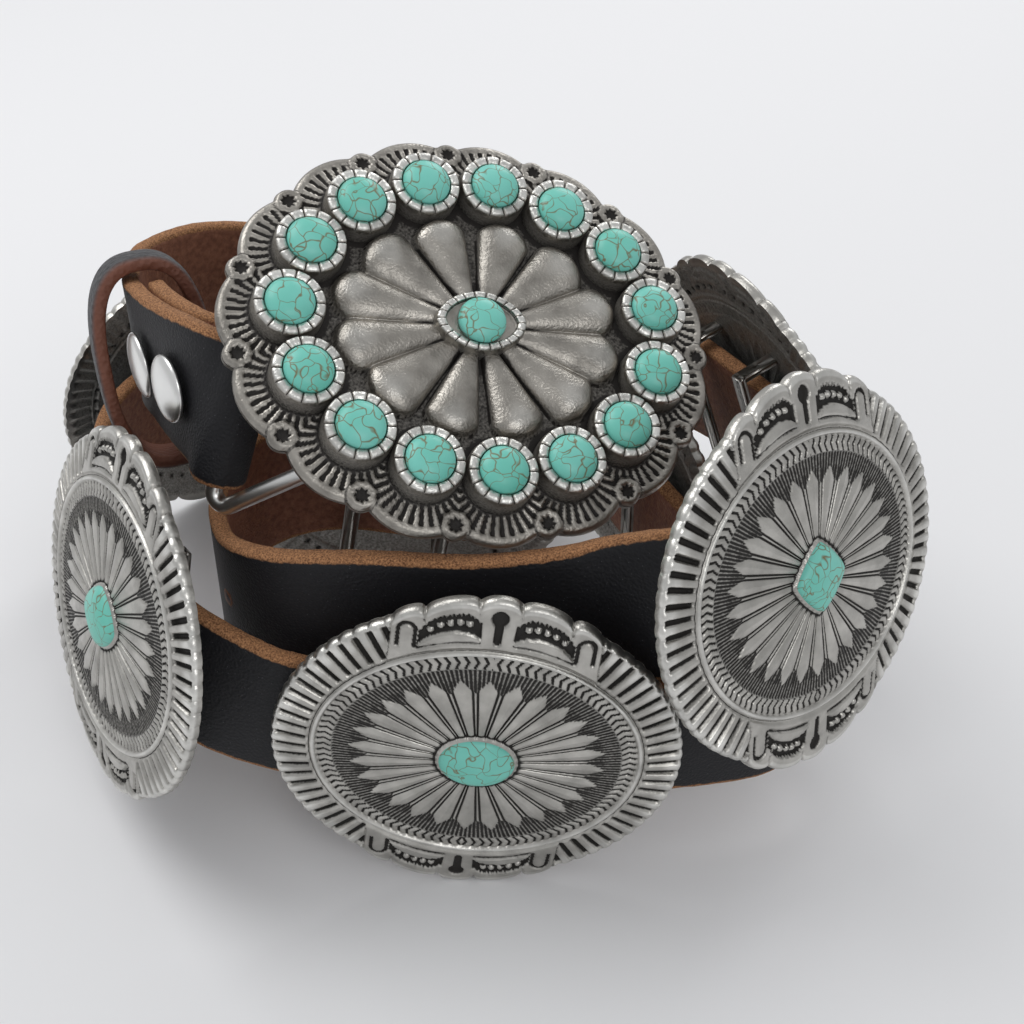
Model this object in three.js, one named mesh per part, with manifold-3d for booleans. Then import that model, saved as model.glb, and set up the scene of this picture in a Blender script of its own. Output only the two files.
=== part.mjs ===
// A leather concho belt, coiled on edge as it stands on a table. Millimetres, +Z up.
import * as THREE from "three";
import { mergeVertices } from "three/addons/utils/BufferGeometryUtils.js";
import Module from "manifold-3d";

const wasm = await Module();
wasm.setup();

// Strap
const STRAP_WIDTH = 34;
const STRAP_THICKNESS = 4;
const STRAP_STEPS = 78;
const FOLD_BACK = 40; // length of the end folded behind the strap
const FOLD_SPREAD = 0.35; // share of the fold over which its two layers close up
const LAYER_GAP = 0.8;
const HOLE_DIAMETER = 4;
const HOLE_SPACING = 20;
const HOLE_COUNT = 5;

// Coil, as it stands
const COIL_WIDTH = 200;
const COIL_DEPTH = 150;

// Conchos
const CONCHO_WIDTH = 90;
const CONCHO_HEIGHT = 88;
const CONCHO_PLATE = 1.8;
const CONCHO_DOME = 4.6;
const CONCHO_SEAT = 1.2; // from the plate's rim plane to the strap's outer face
const BAR_WIDTH = 4;
const BAR_THICKNESS = 1.8;
const BAR_SPREAD = 12; // from the concho's middle to a bar
const BAR_CLEARANCE = 2.4;
const CONCHO_STONE_LENGTH = 20;
const CONCHO_STONE_HEIGHT = 14;
const STONE_RISE = 3.4;
const CLEARANCE = 0.3;

// Buckle
const BUCKLE_WIDTH = 113;
const BUCKLE_HEIGHT = 98;
const BUCKLE_PLATE = 3;
const BUCKLE_DOME = 2.4;
const BUCKLE_STONES = 15;
const CUP_DIAMETER = 15.4;
const CUP_RISE = 6;
const CUP_DEPTH = 1.4;
const STONE_DIAMETER = 10.2;
const PETALS = 12;
const PETAL_RISE = 3.2;
const COLLAR_LENGTH = 19;
const COLLAR_HEIGHT = 12;
const COLLAR_RISE = 9;
const CENTRE_STONE_DIAMETER = 9.6;
const HOOK_LENGTH = 9;
const HOOK_DIAMETER = 3.4;

// Bail, keeper and snaps
const WIRE_DIAMETER = 4;
const BAIL_SPAN = 51; // along the strap's width
const BAIL_BEND = 3; // radius of the wire's middle line at a corner
const BAIL_STEP = Math.PI / 8;
const BAIL_SHIFT = 0.6; // how far the whole wire sits below the middle of the fold and of the lugs
const LUG_WIDTH = 5;
const LUG_SPREAD = 11.5;
const LUG_DROP = 8; // from the plate's back to the wire
const LUG_BORE_CLEARANCE = 0.35;
const KEEPER_HEIGHT = 46;
const KEEPER_DEPTH = 22;
const KEEPER_BAND = 11;
const KEEPER_THICKNESS = 3.2;
const KEEPER_LENGTH = 49; // along the strap from the fold
const KEEPER_UP = -4;
const KEEPER_OUT = -2.2;
const SNAP_DIAMETER = 15.5;
const SNAP_RISE = 2.6;
const SNAP_POST = 4;
const SNAP_SEAT = 1.1; // under the cap, where the strap twists

// The strap's middle line from the fold on, clockwise seen from above. x and y are shares of
// half the coil's width and depth, z is a share of the concho's height, lean is in degrees.
const COIL_ROUTE = [
  { x: -0.64, y: -0.407, z: 1.16, lean: 23 },
  { x: -0.695, y: -0.327, z: 1.16, lean: 11 },
  { x: -0.77, y: -0.18, z: 1.13, lean: 4 },
  { x: -0.845, y: 0.00667, z: 1.09, lean: 0 },
  { x: -0.91, y: 0.24, z: 1.03, lean: 0 },
  { x: -0.92, y: 0.507, z: 1, lean: 0 },
  { x: -0.79, y: 0.747, z: 0.955, lean: 2 },
  { x: -0.52, y: 0.88, z: 0.864, lean: 2 },
  { x: -0.2, y: 0.88, z: 0.739, lean: 3 },
  { x: 0.05, y: 0.72, z: 0.614, lean: 5 },
  { x: 0.24, y: 0.387, z: 0.523, lean: 6 },
  { x: 0.39, y: 0.0133, z: 0.477, lean: 5 },
  { x: 0.51, y: -0.28, z: 0.455, lean: 3 },
  { x: 0.6, y: -0.507, z: 0.426, lean: 2 },
  { x: 0.65, y: -0.64, z: 0.412, lean: 1 },
  { x: 0.61, y: -0.767, z: 0.412, lean: 0 },
  { x: 0.44, y: -0.86, z: 0.438, lean: 0 },
  { x: 0.17, y: -0.92, z: 0.466, lean: 0 },
  { x: -0.076, y: -0.925, z: 0.474, lean: 0 },
  { x: -0.32, y: -0.913, z: 0.494, lean: 1 },
  { x: -0.55, y: -0.873, z: 0.528, lean: 4 },
  { x: -0.73, y: -0.78, z: 0.593, lean: 12 },
  { x: -0.865, y: -0.551, z: 0.606, lean: 15 },
  { x: -0.975, y: -0.24, z: 0.574, lean: 15 },
  { x: -1.07, y: 0.133, z: 0.523, lean: 11 },
  { x: -1.08, y: 0.48, z: 0.489, lean: 7 },
  { x: -0.98, y: 0.773, z: 0.477, lean: 5 },
  { x: -0.8, y: 0.973, z: 0.477, lean: 5 },
  { x: -0.58, y: 1.09, z: 0.477, lean: 5 },
  { x: -0.3, y: 1.15, z: 0.489, lean: 5 },
  { x: -0.04, y: 1.13, z: 0.511, lean: 5 },
  { x: 0.26, y: 0.96, z: 0.591, lean: 8 },
  { x: 0.46, y: 0.613, z: 0.693, lean: 12 },
  { x: 0.6, y: 0.24, z: 0.761, lean: 16 },
  { x: 0.73, y: -0.107, z: 0.795, lean: 17 },
  { x: 0.81, y: -0.36, z: 0.818, lean: 15 },
  { x: 0.79, y: -0.493, z: 0.83, lean: 16 },
  { x: 0.695, y: -0.596, z: 0.855, lean: 18 },
  { x: 0.595, y: -0.724, z: 0.876, lean: 18 },
  { x: 0.495, y: -0.837, z: 0.895, lean: 18 },
  { x: 0.385, y: -0.893, z: 0.892, lean: 15 },
  { x: 0.18, y: -0.8, z: 0.795, lean: 5 },
  { x: -0.07, y: -0.8, z: 0.767, lean: 1 },
  { x: -0.3, y: -0.787, z: 0.773, lean: 0 },
  { x: -0.5, y: -0.733, z: 0.739, lean: 0 },
  { x: -0.62, y: -0.587, z: 0.682, lean: 0 },
  { x: -0.675, y: -0.373, z: 0.659, lean: 0 },
  { x: -0.66, y: -0.16, z: 0.659, lean: 0 },
  { x: -0.6, y: 0.0267, z: 0.642, lean: 0 },
  { x: -0.44, y: 0.127, z: 0.625, lean: 0 },
  { x: -0.22, y: 0.147, z: 0.58, lean: 0 },
  { x: 0, y: 0.133, z: 0.557, lean: 0 },
];

// Each concho's place as a share of the way along the route's points, its roll in its own plane,
// the way its centre stone is cut, and how far it drops towards a straight run of the strap.
const CONCHO_PLACES = [
  { at: 18, roll: -5, cut: "oval" },
  { at: 38, roll: -2, cut: "square" },
  { at: 22, roll: 5, cut: "rhombus" },
  { at: 26.75, roll: 0, cut: "oval" },
  { at: 30.05, roll: 0, cut: "square" },
  { at: 33, roll: 0, cut: "rhombus" },
  { at: 10.3, roll: 0, cut: "oval" },
  { at: 49.75, roll: 0, cut: "square", drop: 1.1 },
];

// The buckle plate's middle, and the direction it faces, in degrees.
const BUCKLE_PLACE = { x: -0.09, y: -0.22, z: 1.265, turn: 31, lean: 55.6, roll: -21.8 };

const leather = new THREE.MeshStandardMaterial({ color: 0x17171a, roughness: 0.75 });
const keeperLeather = new THREE.MeshStandardMaterial({ color: 0x5a5a5c, roughness: 0.8 });
const silver = new THREE.MeshStandardMaterial({ color: 0xb8b6b0, roughness: 0.35, metalness: 1 });
const pewter = new THREE.MeshStandardMaterial({ color: 0x8e8a84, roughness: 0.4, metalness: 1 });
const bright = new THREE.MeshStandardMaterial({ color: 0xd0d0cc, roughness: 0.25, metalness: 1 });
const turquoise = new THREE.MeshStandardMaterial({ color: 0x5fc8af, roughness: 0.35 });

const UP = new THREE.Vector3(0, 0, 1);
const belt = new THREE.Group();
const degrees = THREE.MathUtils.degToRad;

function addMesh(name, geometry, material) {
  const mesh = new THREE.Mesh(geometry, material);
  mesh.name = name;
  belt.add(mesh);
}

// Booleans
function solidOf(geometry) {
  const plain = geometry.clone();
  plain.deleteAttribute("normal");
  plain.deleteAttribute("uv");
  const merged = mergeVertices(plain, 1e-4);
  return new wasm.Manifold(
    new wasm.Mesh({
      numProp: 3,
      vertProperties: merged.attributes.position.array,
      triVerts: new Uint32Array(merged.index.array),
    }),
  );
}

function geometryOf(solid) {
  const mesh = solid.getMesh();
  const geometry = new THREE.BufferGeometry();
  geometry.setAttribute("position", new THREE.BufferAttribute(mesh.vertProperties, 3));
  geometry.setIndex(new THREE.BufferAttribute(mesh.triVerts, 1));
  return geometry;
}

// A closed mesh through rings of points, each ring with the same number of points. The rings
// follow each other round if looped, and are closed by a fan at each end if not.
function ringMesh(rings, looped = false) {
  const count = rings[0].length;
  const points = rings.flat();
  const faces = [];
  const last = looped ? rings.length : rings.length - 1;
  for (let i = 0; i < last; i++) {
    const a = i * count;
    const b = ((i + 1) % rings.length) * count;
    for (let j = 0; j < count; j++) {
      const k = (j + 1) % count;
      faces.push(a + j, a + k, b + k, a + j, b + k, b + j);
    }
  }
  if (!looped) {
    for (const [ring, flip] of [[0, true], [rings.length - 1, false]]) {
      const middle = new THREE.Vector3();
      rings[ring].forEach((p) => middle.addScaledVector(p, 1 / count));
      const centre = points.push(middle) - 1;
      for (let j = 0; j < count; j++) {
        const a = ring * count + j;
        const b = ring * count + ((j + 1) % count);
        faces.push(...(flip ? [centre, b, a] : [centre, a, b]));
      }
    }
  }
  const geometry = new THREE.BufferGeometry().setFromPoints(points);
  geometry.setIndex(faces);
  return geometry;
}

// The coil's middle line with a frame at each place: along, up across the strap, and outward.
const routePoint = (row) =>
  new THREE.Vector3(
    (row.x * COIL_WIDTH) / 2,
    (row.y * COIL_DEPTH) / 2,
    row.z * CONCHO_HEIGHT,
  );
const routeCurve = new THREE.CatmullRomCurve3(COIL_ROUTE.map(routePoint), false, "catmullrom", 0.5);
const leanCurve = new THREE.CatmullRomCurve3(
  COIL_ROUTE.map((row) => new THREE.Vector3(row.lean, 0, 0)),
  false,
  "catmullrom",
  0.5,
);

function frameAt(share) {
  const along = routeCurve.getTangent(share);
  const level = UP.clone().addScaledVector(along, -UP.dot(along)).normalize();
  const out = level.clone().cross(along).normalize();
  const lean = degrees(leanCurve.getPoint(share).x);
  return {
    point: routeCurve.getPoint(share),
    along,
    up: level.clone().multiplyScalar(Math.cos(lean)).addScaledVector(out, -Math.sin(lean)),
    out: out.clone().multiplyScalar(Math.cos(lean)).addScaledVector(level, Math.sin(lean)),
  };
}

const placeOf = (row) => row / (COIL_ROUTE.length - 1);
const routeLengths = routeCurve.getLengths(COIL_ROUTE.length * 20);
const routeLength = routeLengths[routeLengths.length - 1];

function shareAtLength(length) {
  let i = 1;
  while (i < routeLengths.length - 1 && routeLengths[i] < length) i++;
  const step = (length - routeLengths[i - 1]) / (routeLengths[i] - routeLengths[i - 1]);
  return (i - 1 + step) / (routeLengths.length - 1);
}

function offsetPoint(frame, along, up, out) {
  return frame.point
    .clone()
    .addScaledVector(frame.along, along)
    .addScaledVector(frame.up, up)
    .addScaledVector(frame.out, out);
}

// Strap: a section swept along the fold's inner layer, round the bail's wire and along the route.
const FOLD_RADIUS = WIRE_DIAMETER / 2 + CLEARANCE + 0.2 + STRAP_THICKNESS / 2;
const foldFrame = frameAt(0);

function foldOffset(length) {
  const open = Math.max(0, 1 - length / (FOLD_BACK * FOLD_SPREAD));
  const closed = STRAP_THICKNESS + LAYER_GAP;
  return closed + (2 * FOLD_RADIUS - closed) * open * open * (3 - 2 * open);
}

function sectionAt(point, up, out) {
  const half = STRAP_WIDTH / 2;
  const thick = STRAP_THICKNESS / 2;
  return [[-half, -thick], [half, -thick], [half, thick], [-half, thick]].map(([v, w]) =>
    point.clone().addScaledVector(up, v).addScaledVector(out, w),
  );
}

function strapRings() {
  const rings = [];
  const innerSteps = 8;
  for (let i = 0; i < innerSteps; i++) {
    const length = FOLD_BACK * (1 - i / innerSteps);
    const frame = frameAt(shareAtLength(length));
    rings.push(sectionAt(offsetPoint(frame, 0, 0, -foldOffset(length)), frame.up, frame.out.clone().negate()));
  }
  const turnSteps = 6;
  for (let i = 0; i < turnSteps; i++) {
    const angle = Math.PI * (i / turnSteps - 0.5);
    const ahead = -Math.cos(angle) * FOLD_RADIUS;
    const out = (Math.sin(angle) - 1) * FOLD_RADIUS;
    const facing = foldFrame.along
      .clone()
      .multiplyScalar(-Math.cos(angle))
      .addScaledVector(foldFrame.out, Math.sin(angle));
    rings.push(sectionAt(offsetPoint(foldFrame, ahead, 0, out), foldFrame.up, facing));
  }
  for (let i = 0; i <= STRAP_STEPS; i++) {
    const frame = frameAt(shareAtLength((routeLength * i) / STRAP_STEPS));
    rings.push(sectionAt(frame.point, frame.up, frame.out));
  }
  return rings;
}

// A round rod between two points, used for posts and bores.
function rod(from, to, diameter, sides = 10) {
  const axis = to.clone().sub(from);
  const shape = new THREE.CylinderGeometry(diameter / 2, diameter / 2, axis.length(), sides);
  shape.applyQuaternion(new THREE.Quaternion().setFromUnitVectors(new THREE.Vector3(0, 1, 0), axis.clone().normalize()));
  const middle = from.clone().add(to).multiplyScalar(0.5);
  return shape.translate(middle.x, middle.y, middle.z);
}

const snapLengths = [15, 34];
function makeStrap() {
  let strap = outward(ringMesh(strapRings()));
  for (const length of snapLengths) {
    const frame = frameAt(shareAtLength(length));
    const bore = SNAP_POST + 2 * CLEARANCE;
    const depth = foldOffset(length) + STRAP_THICKNESS;
    strap = strap.subtract(
      solidOf(rod(offsetPoint(frame, 0, 0, -depth), offsetPoint(frame, 0, 0, STRAP_THICKNESS), bore)),
    );
  }
  for (let i = 0; i < HOLE_COUNT; i++) {
    const frame = frameAt(shareAtLength(routeLength - HOLE_SPACING * (i + 1.5)));
    const reach = STRAP_THICKNESS;
    strap = strap.subtract(
      solidOf(rod(offsetPoint(frame, 0, 0, -reach), offsetPoint(frame, 0, 0, reach), HOLE_DIAMETER, 8)),
    );
  }
  addMesh("strap", geometryOf(strap), leather);
}

function makeSnaps() {
  snapLengths.forEach((length, i) => {
    const frame = frameAt(shareAtLength(length));
    const seat = STRAP_THICKNESS / 2 + SNAP_SEAT;
    const radius = SNAP_DIAMETER / 2;
    const back = -(foldOffset(length) + STRAP_THICKNESS / 2 + SNAP_SEAT);
    const profile = [
      [0, back - 1.2], [radius * 0.6, back - 1.2], [radius * 0.6, back], [SNAP_POST / 2, back],
      [SNAP_POST / 2, seat], [radius, seat], [radius, seat + 0.6],
      [radius * 0.8, seat + SNAP_RISE * 0.65], [radius * 0.4, seat + SNAP_RISE * 0.95], [0, seat + SNAP_RISE],
    ].map(([r, h]) => new THREE.Vector2(r, h));
    const shape = new THREE.LatheGeometry(profile, 10);
    const sideways = frame.out.clone().cross(frame.up);
    shape.applyMatrix4(new THREE.Matrix4().makeBasis(sideways, frame.out, frame.up.clone().negate()).setPosition(frame.point));
    addMesh("snap_" + (i + 1), geometryOf(outward(shape)), bright);
  });
}

// A loop of even sections round a closed curve.
function loopMesh(points, sectionOf) {
  return ringMesh(points.map((point, i) => sectionOf(point, i)), true);
}

// Keeper: a leather loop round the strap just past the snaps.
function makeKeeper() {
  const frame = frameAt(shareAtLength(KEEPER_LENGTH));
  const count = 24;
  const rings = [];
  for (let i = 0; i < count; i++) {
    const angle = (2 * Math.PI * i) / count;
    const cos = Math.cos(angle);
    const sin = Math.sin(angle);
    const size = Math.pow(Math.abs(cos) ** 2.6 + Math.abs(sin) ** 2.6, -1 / 2.6);
    const ring = [];
    for (const [t, grow] of [[-1, 0], [-1, 1], [1, 1], [1, 0]]) {
      const up = (KEEPER_HEIGHT / 2 + grow * KEEPER_THICKNESS) * size * sin + KEEPER_UP;
      const out = (KEEPER_DEPTH / 2 + grow * KEEPER_THICKNESS) * size * cos + KEEPER_OUT;
      ring.push(offsetPoint(frame, (t * KEEPER_BAND) / 2, up, out));
    }
    rings.push(ring);
  }
  addMesh("keeper", geometryOf(outward(ringMesh(rings, true))), keeperLeather);
}

// The solid of a mesh, with its faces turned out whichever way its rings ran.
function outward(geometry) {
  const made = solidOf(geometry);
  if (made.volume() > 0) return made;
  const index = geometry.index.array;
  for (let i = 0; i < index.length; i += 3) [index[i + 1], index[i + 2]] = [index[i + 2], index[i + 1]];
  return solidOf(geometry);
}

// A piece's own axes from the direction it faces: turn about +Z, lean back, and roll in its plane.
function facing({ turn, lean, roll }) {
  const a = degrees(turn);
  const l = degrees(lean);
  const out = new THREE.Vector3(Math.sin(a) * Math.cos(l), -Math.cos(a) * Math.cos(l), Math.sin(l));
  const side = new THREE.Vector3(Math.cos(a), Math.sin(a), 0);
  return rolled(side, out.clone().cross(side), out, roll);
}

function rolled(side, up, out, roll) {
  const r = degrees(roll);
  return {
    side: side.clone().multiplyScalar(Math.cos(r)).addScaledVector(up, Math.sin(r)),
    up: up.clone().multiplyScalar(Math.cos(r)).addScaledVector(side, -Math.sin(r)),
    out,
  };
}

const matrixOf = ({ side, up, out }, origin) => new THREE.Matrix4().makeBasis(side, up, out).setPosition(origin);

// Concho outline, as shares of its half width and half height: flutes at the sides, and at top
// and bottom a middle lobe, two broad arcs and two small lobes with notches between them.
const LOBE_POINTS = [
  { x: 0, y: 1 }, { x: 0.088, y: 0.955 }, { x: 0.21, y: 0.957 }, { x: 0.333, y: 0.868 },
  { x: 0.42, y: 0.873 }, { x: 0.477, y: 0.785 },
];
const SIDE_STEPS = 3;

function conchoOutline() {
  const quarter = [...LOBE_POINTS];
  const last = LOBE_POINTS[LOBE_POINTS.length - 1];
  const start = Math.atan2(last.y, last.x * 1.04);
  for (let i = 1; i <= SIDE_STEPS; i++) {
    const angle = start * (1 - i / SIDE_STEPS);
    quarter.push({ x: Math.cos(angle), y: Math.sin(angle) * 0.93 });
  }
  const right = [...quarter, ...quarter.slice(0, -1).reverse().map((p) => ({ x: p.x, y: -p.y }))];
  const left = right.slice(1, -1).reverse().map((p) => ({ x: -p.x, y: p.y }));
  return [...right, ...left].reverse();
}

// Rings of the front, then of the hollow back: share of the outline, height, and how much every
// second point is raised, so that flutes and feathers stand in relief.
const FRONT_RINGS = [
  { share: 1, rise: 0.3, relief: 0 },
  { share: 0.91, rise: 0.5, relief: 0.5 },
  { share: 0.54, rise: 0.7, relief: 0.7 },
];

function makeConcho(index, place) {
  const outline = conchoOutline();
  const ringAt = (share, height, relief = 0) =>
    outline.map(
      (p, i) =>
        new THREE.Vector3(
          (p.x * share * CONCHO_WIDTH) / 2,
          (p.y * share * CONCHO_HEIGHT) / 2,
          height + (i % 2 ? relief : 0),
        ),
    );
  const oval = (length, height, z) =>
    outline.map((p) => {
      const angle = Math.atan2(p.y, p.x);
      return new THREE.Vector3((Math.cos(angle) * length) / 2, (Math.sin(angle) * height) / 2, z);
    });
  const wall = 1.6;
  const bezelLength = CONCHO_STONE_LENGTH + 2 * (wall + CLEARANCE);
  const bezelHeight = CONCHO_STONE_HEIGHT + 2 * (wall + CLEARANCE);
  const floor = CONCHO_DOME - 1.2;
  const rings = [
    ringAt(0.6, CONCHO_DOME * 0.62 - CONCHO_PLATE),
    ringAt(1, -0.4),
    ...FRONT_RINGS.map((row) => ringAt(row.share, row.rise * CONCHO_DOME, row.relief)),
    oval(bezelLength, bezelHeight, CONCHO_DOME),
    oval(bezelLength - 2 * wall, bezelHeight - 2 * wall, CONCHO_DOME),
    oval(bezelLength - 2 * wall, bezelHeight - 2 * wall, floor),
  ];
  let solid = outward(ringMesh(rings));
  const strapBack = CONCHO_SEAT + STRAP_THICKNESS + BAR_CLEARANCE;
  for (const side of [-1, 1]) {
    const reach = STRAP_WIDTH / 2 + BAR_CLEARANCE;
    const bar = new THREE.BoxGeometry(BAR_WIDTH, 2 * (reach + BAR_THICKNESS), BAR_THICKNESS);
    bar.translate(side * BAR_SPREAD, 0, -strapBack - BAR_THICKNESS / 2);
    solid = solid.add(solidOf(bar));
    for (const end of [-1, 1]) {
      const top = CONCHO_DOME * 0.5;
      const leg = new THREE.BoxGeometry(BAR_WIDTH, BAR_THICKNESS, top + strapBack + BAR_THICKNESS / 2);
      leg.translate(side * BAR_SPREAD, end * (reach + BAR_THICKNESS / 2), (top - strapBack - BAR_THICKNESS / 2) / 2);
      solid = solid.add(solidOf(leg));
    }
  }
  const frame = frameAt(placeOf(place.at));
  const axes = rolled(frame.along.clone().negate(), frame.up, frame.out, place.roll);
  const seat = STRAP_THICKNESS / 2 + CONCHO_SEAT - (place.drop ?? 0);
  const matrix = matrixOf(axes, offsetPoint(frame, 0, 0, seat));
  addMesh("concho_" + index, geometryOf(solid).applyMatrix4(matrix), silver);
  const stone = cabochon(CONCHO_STONE_LENGTH, CONCHO_STONE_HEIGHT, STONE_RISE, place.cut);
  stone.translate(0, 0, floor + CLEARANCE);
  addMesh("stone_" + index, stone.applyMatrix4(matrix), turquoise);
}

// A domed stone whose foot lies at z = 0. A square one stands on its point.
function cabochon(length, height, rise, cut = "oval") {
  const sides = 10;
  const power = { oval: 2, square: 1.25, rhombus: 1.5 }[cut];
  const rowsOf = [[1, 0], [1, 0.3], [0.7, 0.85]];
  const rings = rowsOf.map(([share, up]) => {
    const ring = [];
    for (let i = 0; i < sides; i++) {
      const angle = (2 * Math.PI * i) / sides;
      const c = Math.cos(angle);
      const s = Math.sin(angle);
      const size = Math.pow(Math.abs(c) ** power + Math.abs(s) ** power, -1 / power);
      ring.push(new THREE.Vector3((c * size * share * length) / 2, (s * size * share * height) / 2, up * rise));
    }
    return ring;
  });
  return geometryOf(outward(ringMesh(rings)));
}

// Buckle
const buckleAxes = facing(BUCKLE_PLACE);
const buckleOrigin = routePoint(BUCKLE_PLACE);
const buckleMatrix = matrixOf(buckleAxes, buckleOrigin);
const buckleCups = [];

// Angles that share an oval's edge into even steps.
function evenAngles(width, height, count, start) {
  const samples = 720;
  const lengths = [0];
  for (let i = 0; i < samples; i++) {
    const a = (2 * Math.PI * (i + 0.5)) / samples;
    lengths.push(lengths[i] + Math.hypot(width * Math.sin(a), height * Math.cos(a)));
  }
  const total = lengths[samples];
  return Array.from({ length: count }, (_, k) => {
    const want = ((k + start) / count) * total;
    let i = 1;
    while (i < samples && lengths[i] < want) i++;
    return (2 * Math.PI * i) / samples;
  });
}

const CUP_START = 14.4; // in steps of one cup, so that a cup lies just below the plate's right end
const EYE_SHARE = 0.965;
const SCALLOP_SHARE = 0.955;

function bucklePlate() {
  const steps = 4;
  const angles = evenAngles(BUCKLE_WIDTH, BUCKLE_HEIGHT, BUCKLE_STONES * steps, 0);
  const edge = angles.map((angle, i) => {
    const phase = ((i / steps + 0.5 - (CUP_START % 1)) % 1 + 1) % 1;
    const bulge = Math.abs(Math.sin(Math.PI * phase));
    const size = phase < 0.1 || phase > 0.9 ? EYE_SHARE : SCALLOP_SHARE + (1 - SCALLOP_SHARE) * bulge;
    return { x: Math.cos(angle) * size, y: Math.sin(angle) * size };
  });
  const ringAt = (share, z) =>
    edge.map((p) => new THREE.Vector3((p.x * share * BUCKLE_WIDTH) / 2, (p.y * share * BUCKLE_HEIGHT) / 2, z));
  const dome = BUCKLE_PLATE + BUCKLE_DOME;
  return outward(
    ringMesh([
      ringAt(0.6, BUCKLE_DOME * 0.8),
      ringAt(1, 0),
      ringAt(1, BUCKLE_PLATE),
      ringAt(0.6, dome),
      ringAt(0.2, dome + 0.6),
    ]),
  );
}

function taperedCup(x, y, diameter, height, base) {
  const foot = diameter / 2 + 0.9;
  const top = diameter / 2;
  const inner = STONE_DIAMETER / 2 + CLEARANCE;
  const profile = [
    [0, base], [foot, base], [top, height], [inner, height], [inner, height - CUP_DEPTH], [0, height - CUP_DEPTH],
  ].map(([r, h]) => new THREE.Vector2(r, h));
  const cup = new THREE.LatheGeometry(profile, 9);
  return outward(cup.rotateX(Math.PI / 2).translate(x, y, 0));
}

function petal(angle) {
  const from = COLLAR_HEIGHT * 0.55;
  const reach = new THREE.Vector2(Math.cos(angle) * BUCKLE_WIDTH * 0.285, Math.sin(angle) * BUCKLE_HEIGHT * 0.255);
  const length = reach.length() - from;
  const base = BUCKLE_PLATE + BUCKLE_DOME - 0.8;
  const rings = [[0, 1.4, 0.45], [0.55, 3.6, 0.85], [0.85, 4.4, 1], [1, 1.6, 0.25]].map(([t, half, rise]) => {
    const ring = [];
    for (let i = 0; i < 6; i++) {
      const turn = (Math.PI * i) / 5;
      ring.push(new THREE.Vector3(from + t * length, half * Math.cos(turn), base + Math.sin(turn) * (rise * PETAL_RISE + 0.8)));
    }
    return ring;
  });
  const shape = ringMesh(rings);
  return outward(shape.rotateZ(Math.atan2(reach.y, reach.x)));
}

function collar() {
  const sides = 20;
  const rings = [[1.1, BUCKLE_PLATE], [1, COLLAR_RISE], [0.8, COLLAR_RISE], [0.8, COLLAR_RISE - 1]].map(([share, z]) => {
    const ring = [];
    for (let i = 0; i < sides; i++) {
      const angle = (2 * Math.PI * i) / sides;
      ring.push(
        new THREE.Vector3((Math.cos(angle) * share * COLLAR_LENGTH) / 2, (Math.sin(angle) * share * COLLAR_HEIGHT) / 2, z),
      );
    }
    return ring;
  });
  return outward(ringMesh(rings));
}

// The wire's middle line on the buckle's side of the bail, in the plate's own axes.
const LUG_SIDE = -0.25 * BUCKLE_WIDTH;

function makeBuckle() {
  let solid = bucklePlate();
  const ringWidth = BUCKLE_WIDTH * 0.735;
  const ringHeight = BUCKLE_HEIGHT * 0.705;
  for (const angle of evenAngles(ringWidth, ringHeight, BUCKLE_STONES, CUP_START % 1)) {
    const x = (Math.cos(angle) * ringWidth) / 2;
    const y = (Math.sin(angle) * ringHeight) / 2;
    buckleCups.push({ x, y });
    solid = solid.add(taperedCup(x, y, CUP_DIAMETER, BUCKLE_PLATE + CUP_RISE, BUCKLE_PLATE - 1));
  }
  for (let i = 0; i < PETALS; i++) solid = solid.add(petal((2 * Math.PI * (i + 0.5)) / PETALS));
  solid = solid.add(collar());
  for (const side of [-1, 1]) {
    const lug = new THREE.BoxGeometry(WIRE_DIAMETER + 5, LUG_WIDTH, LUG_DROP + WIRE_DIAMETER / 2 + 3);
    lug.translate(LUG_SIDE, side * LUG_SPREAD, -(LUG_DROP + WIRE_DIAMETER / 2) / 2 + 0.4);
    solid = solid.add(solidOf(lug));
  }
  const reach = LUG_SPREAD + LUG_WIDTH;
  const bore = rod(
    new THREE.Vector3(LUG_SIDE, -reach, -LUG_DROP),
    new THREE.Vector3(LUG_SIDE, reach, -LUG_DROP),
    WIRE_DIAMETER + 2 * LUG_BORE_CLEARANCE + 0.3,
    12,
  );
  solid = solid.subtract(solidOf(bore));
  const hookPlace = BUCKLE_WIDTH * 0.33;
  solid = solid.add(
    solidOf(
      rod(new THREE.Vector3(hookPlace, 0, 1.5), new THREE.Vector3(hookPlace, 0, -HOOK_LENGTH), HOOK_DIAMETER, 8),
    ),
  );
  addMesh("buckle", geometryOf(solid).applyMatrix4(buckleMatrix), pewter);
  buckleCups.forEach(({ x, y }, i) => {
    const stone = cabochon(STONE_DIAMETER, STONE_DIAMETER, STONE_RISE);
    stone.translate(x, y, BUCKLE_PLATE + CUP_RISE - CUP_DEPTH + CLEARANCE);
    addMesh("buckle_stone_" + (i + 1), stone.applyMatrix4(buckleMatrix), turquoise);
  });
  const centre = cabochon(CENTRE_STONE_DIAMETER, CENTRE_STONE_DIAMETER, STONE_RISE);
  centre.translate(0, 0, COLLAR_RISE - 1 + CLEARANCE);
  addMesh("buckle_centre_stone", centre.applyMatrix4(buckleMatrix), turquoise);
}

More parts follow.
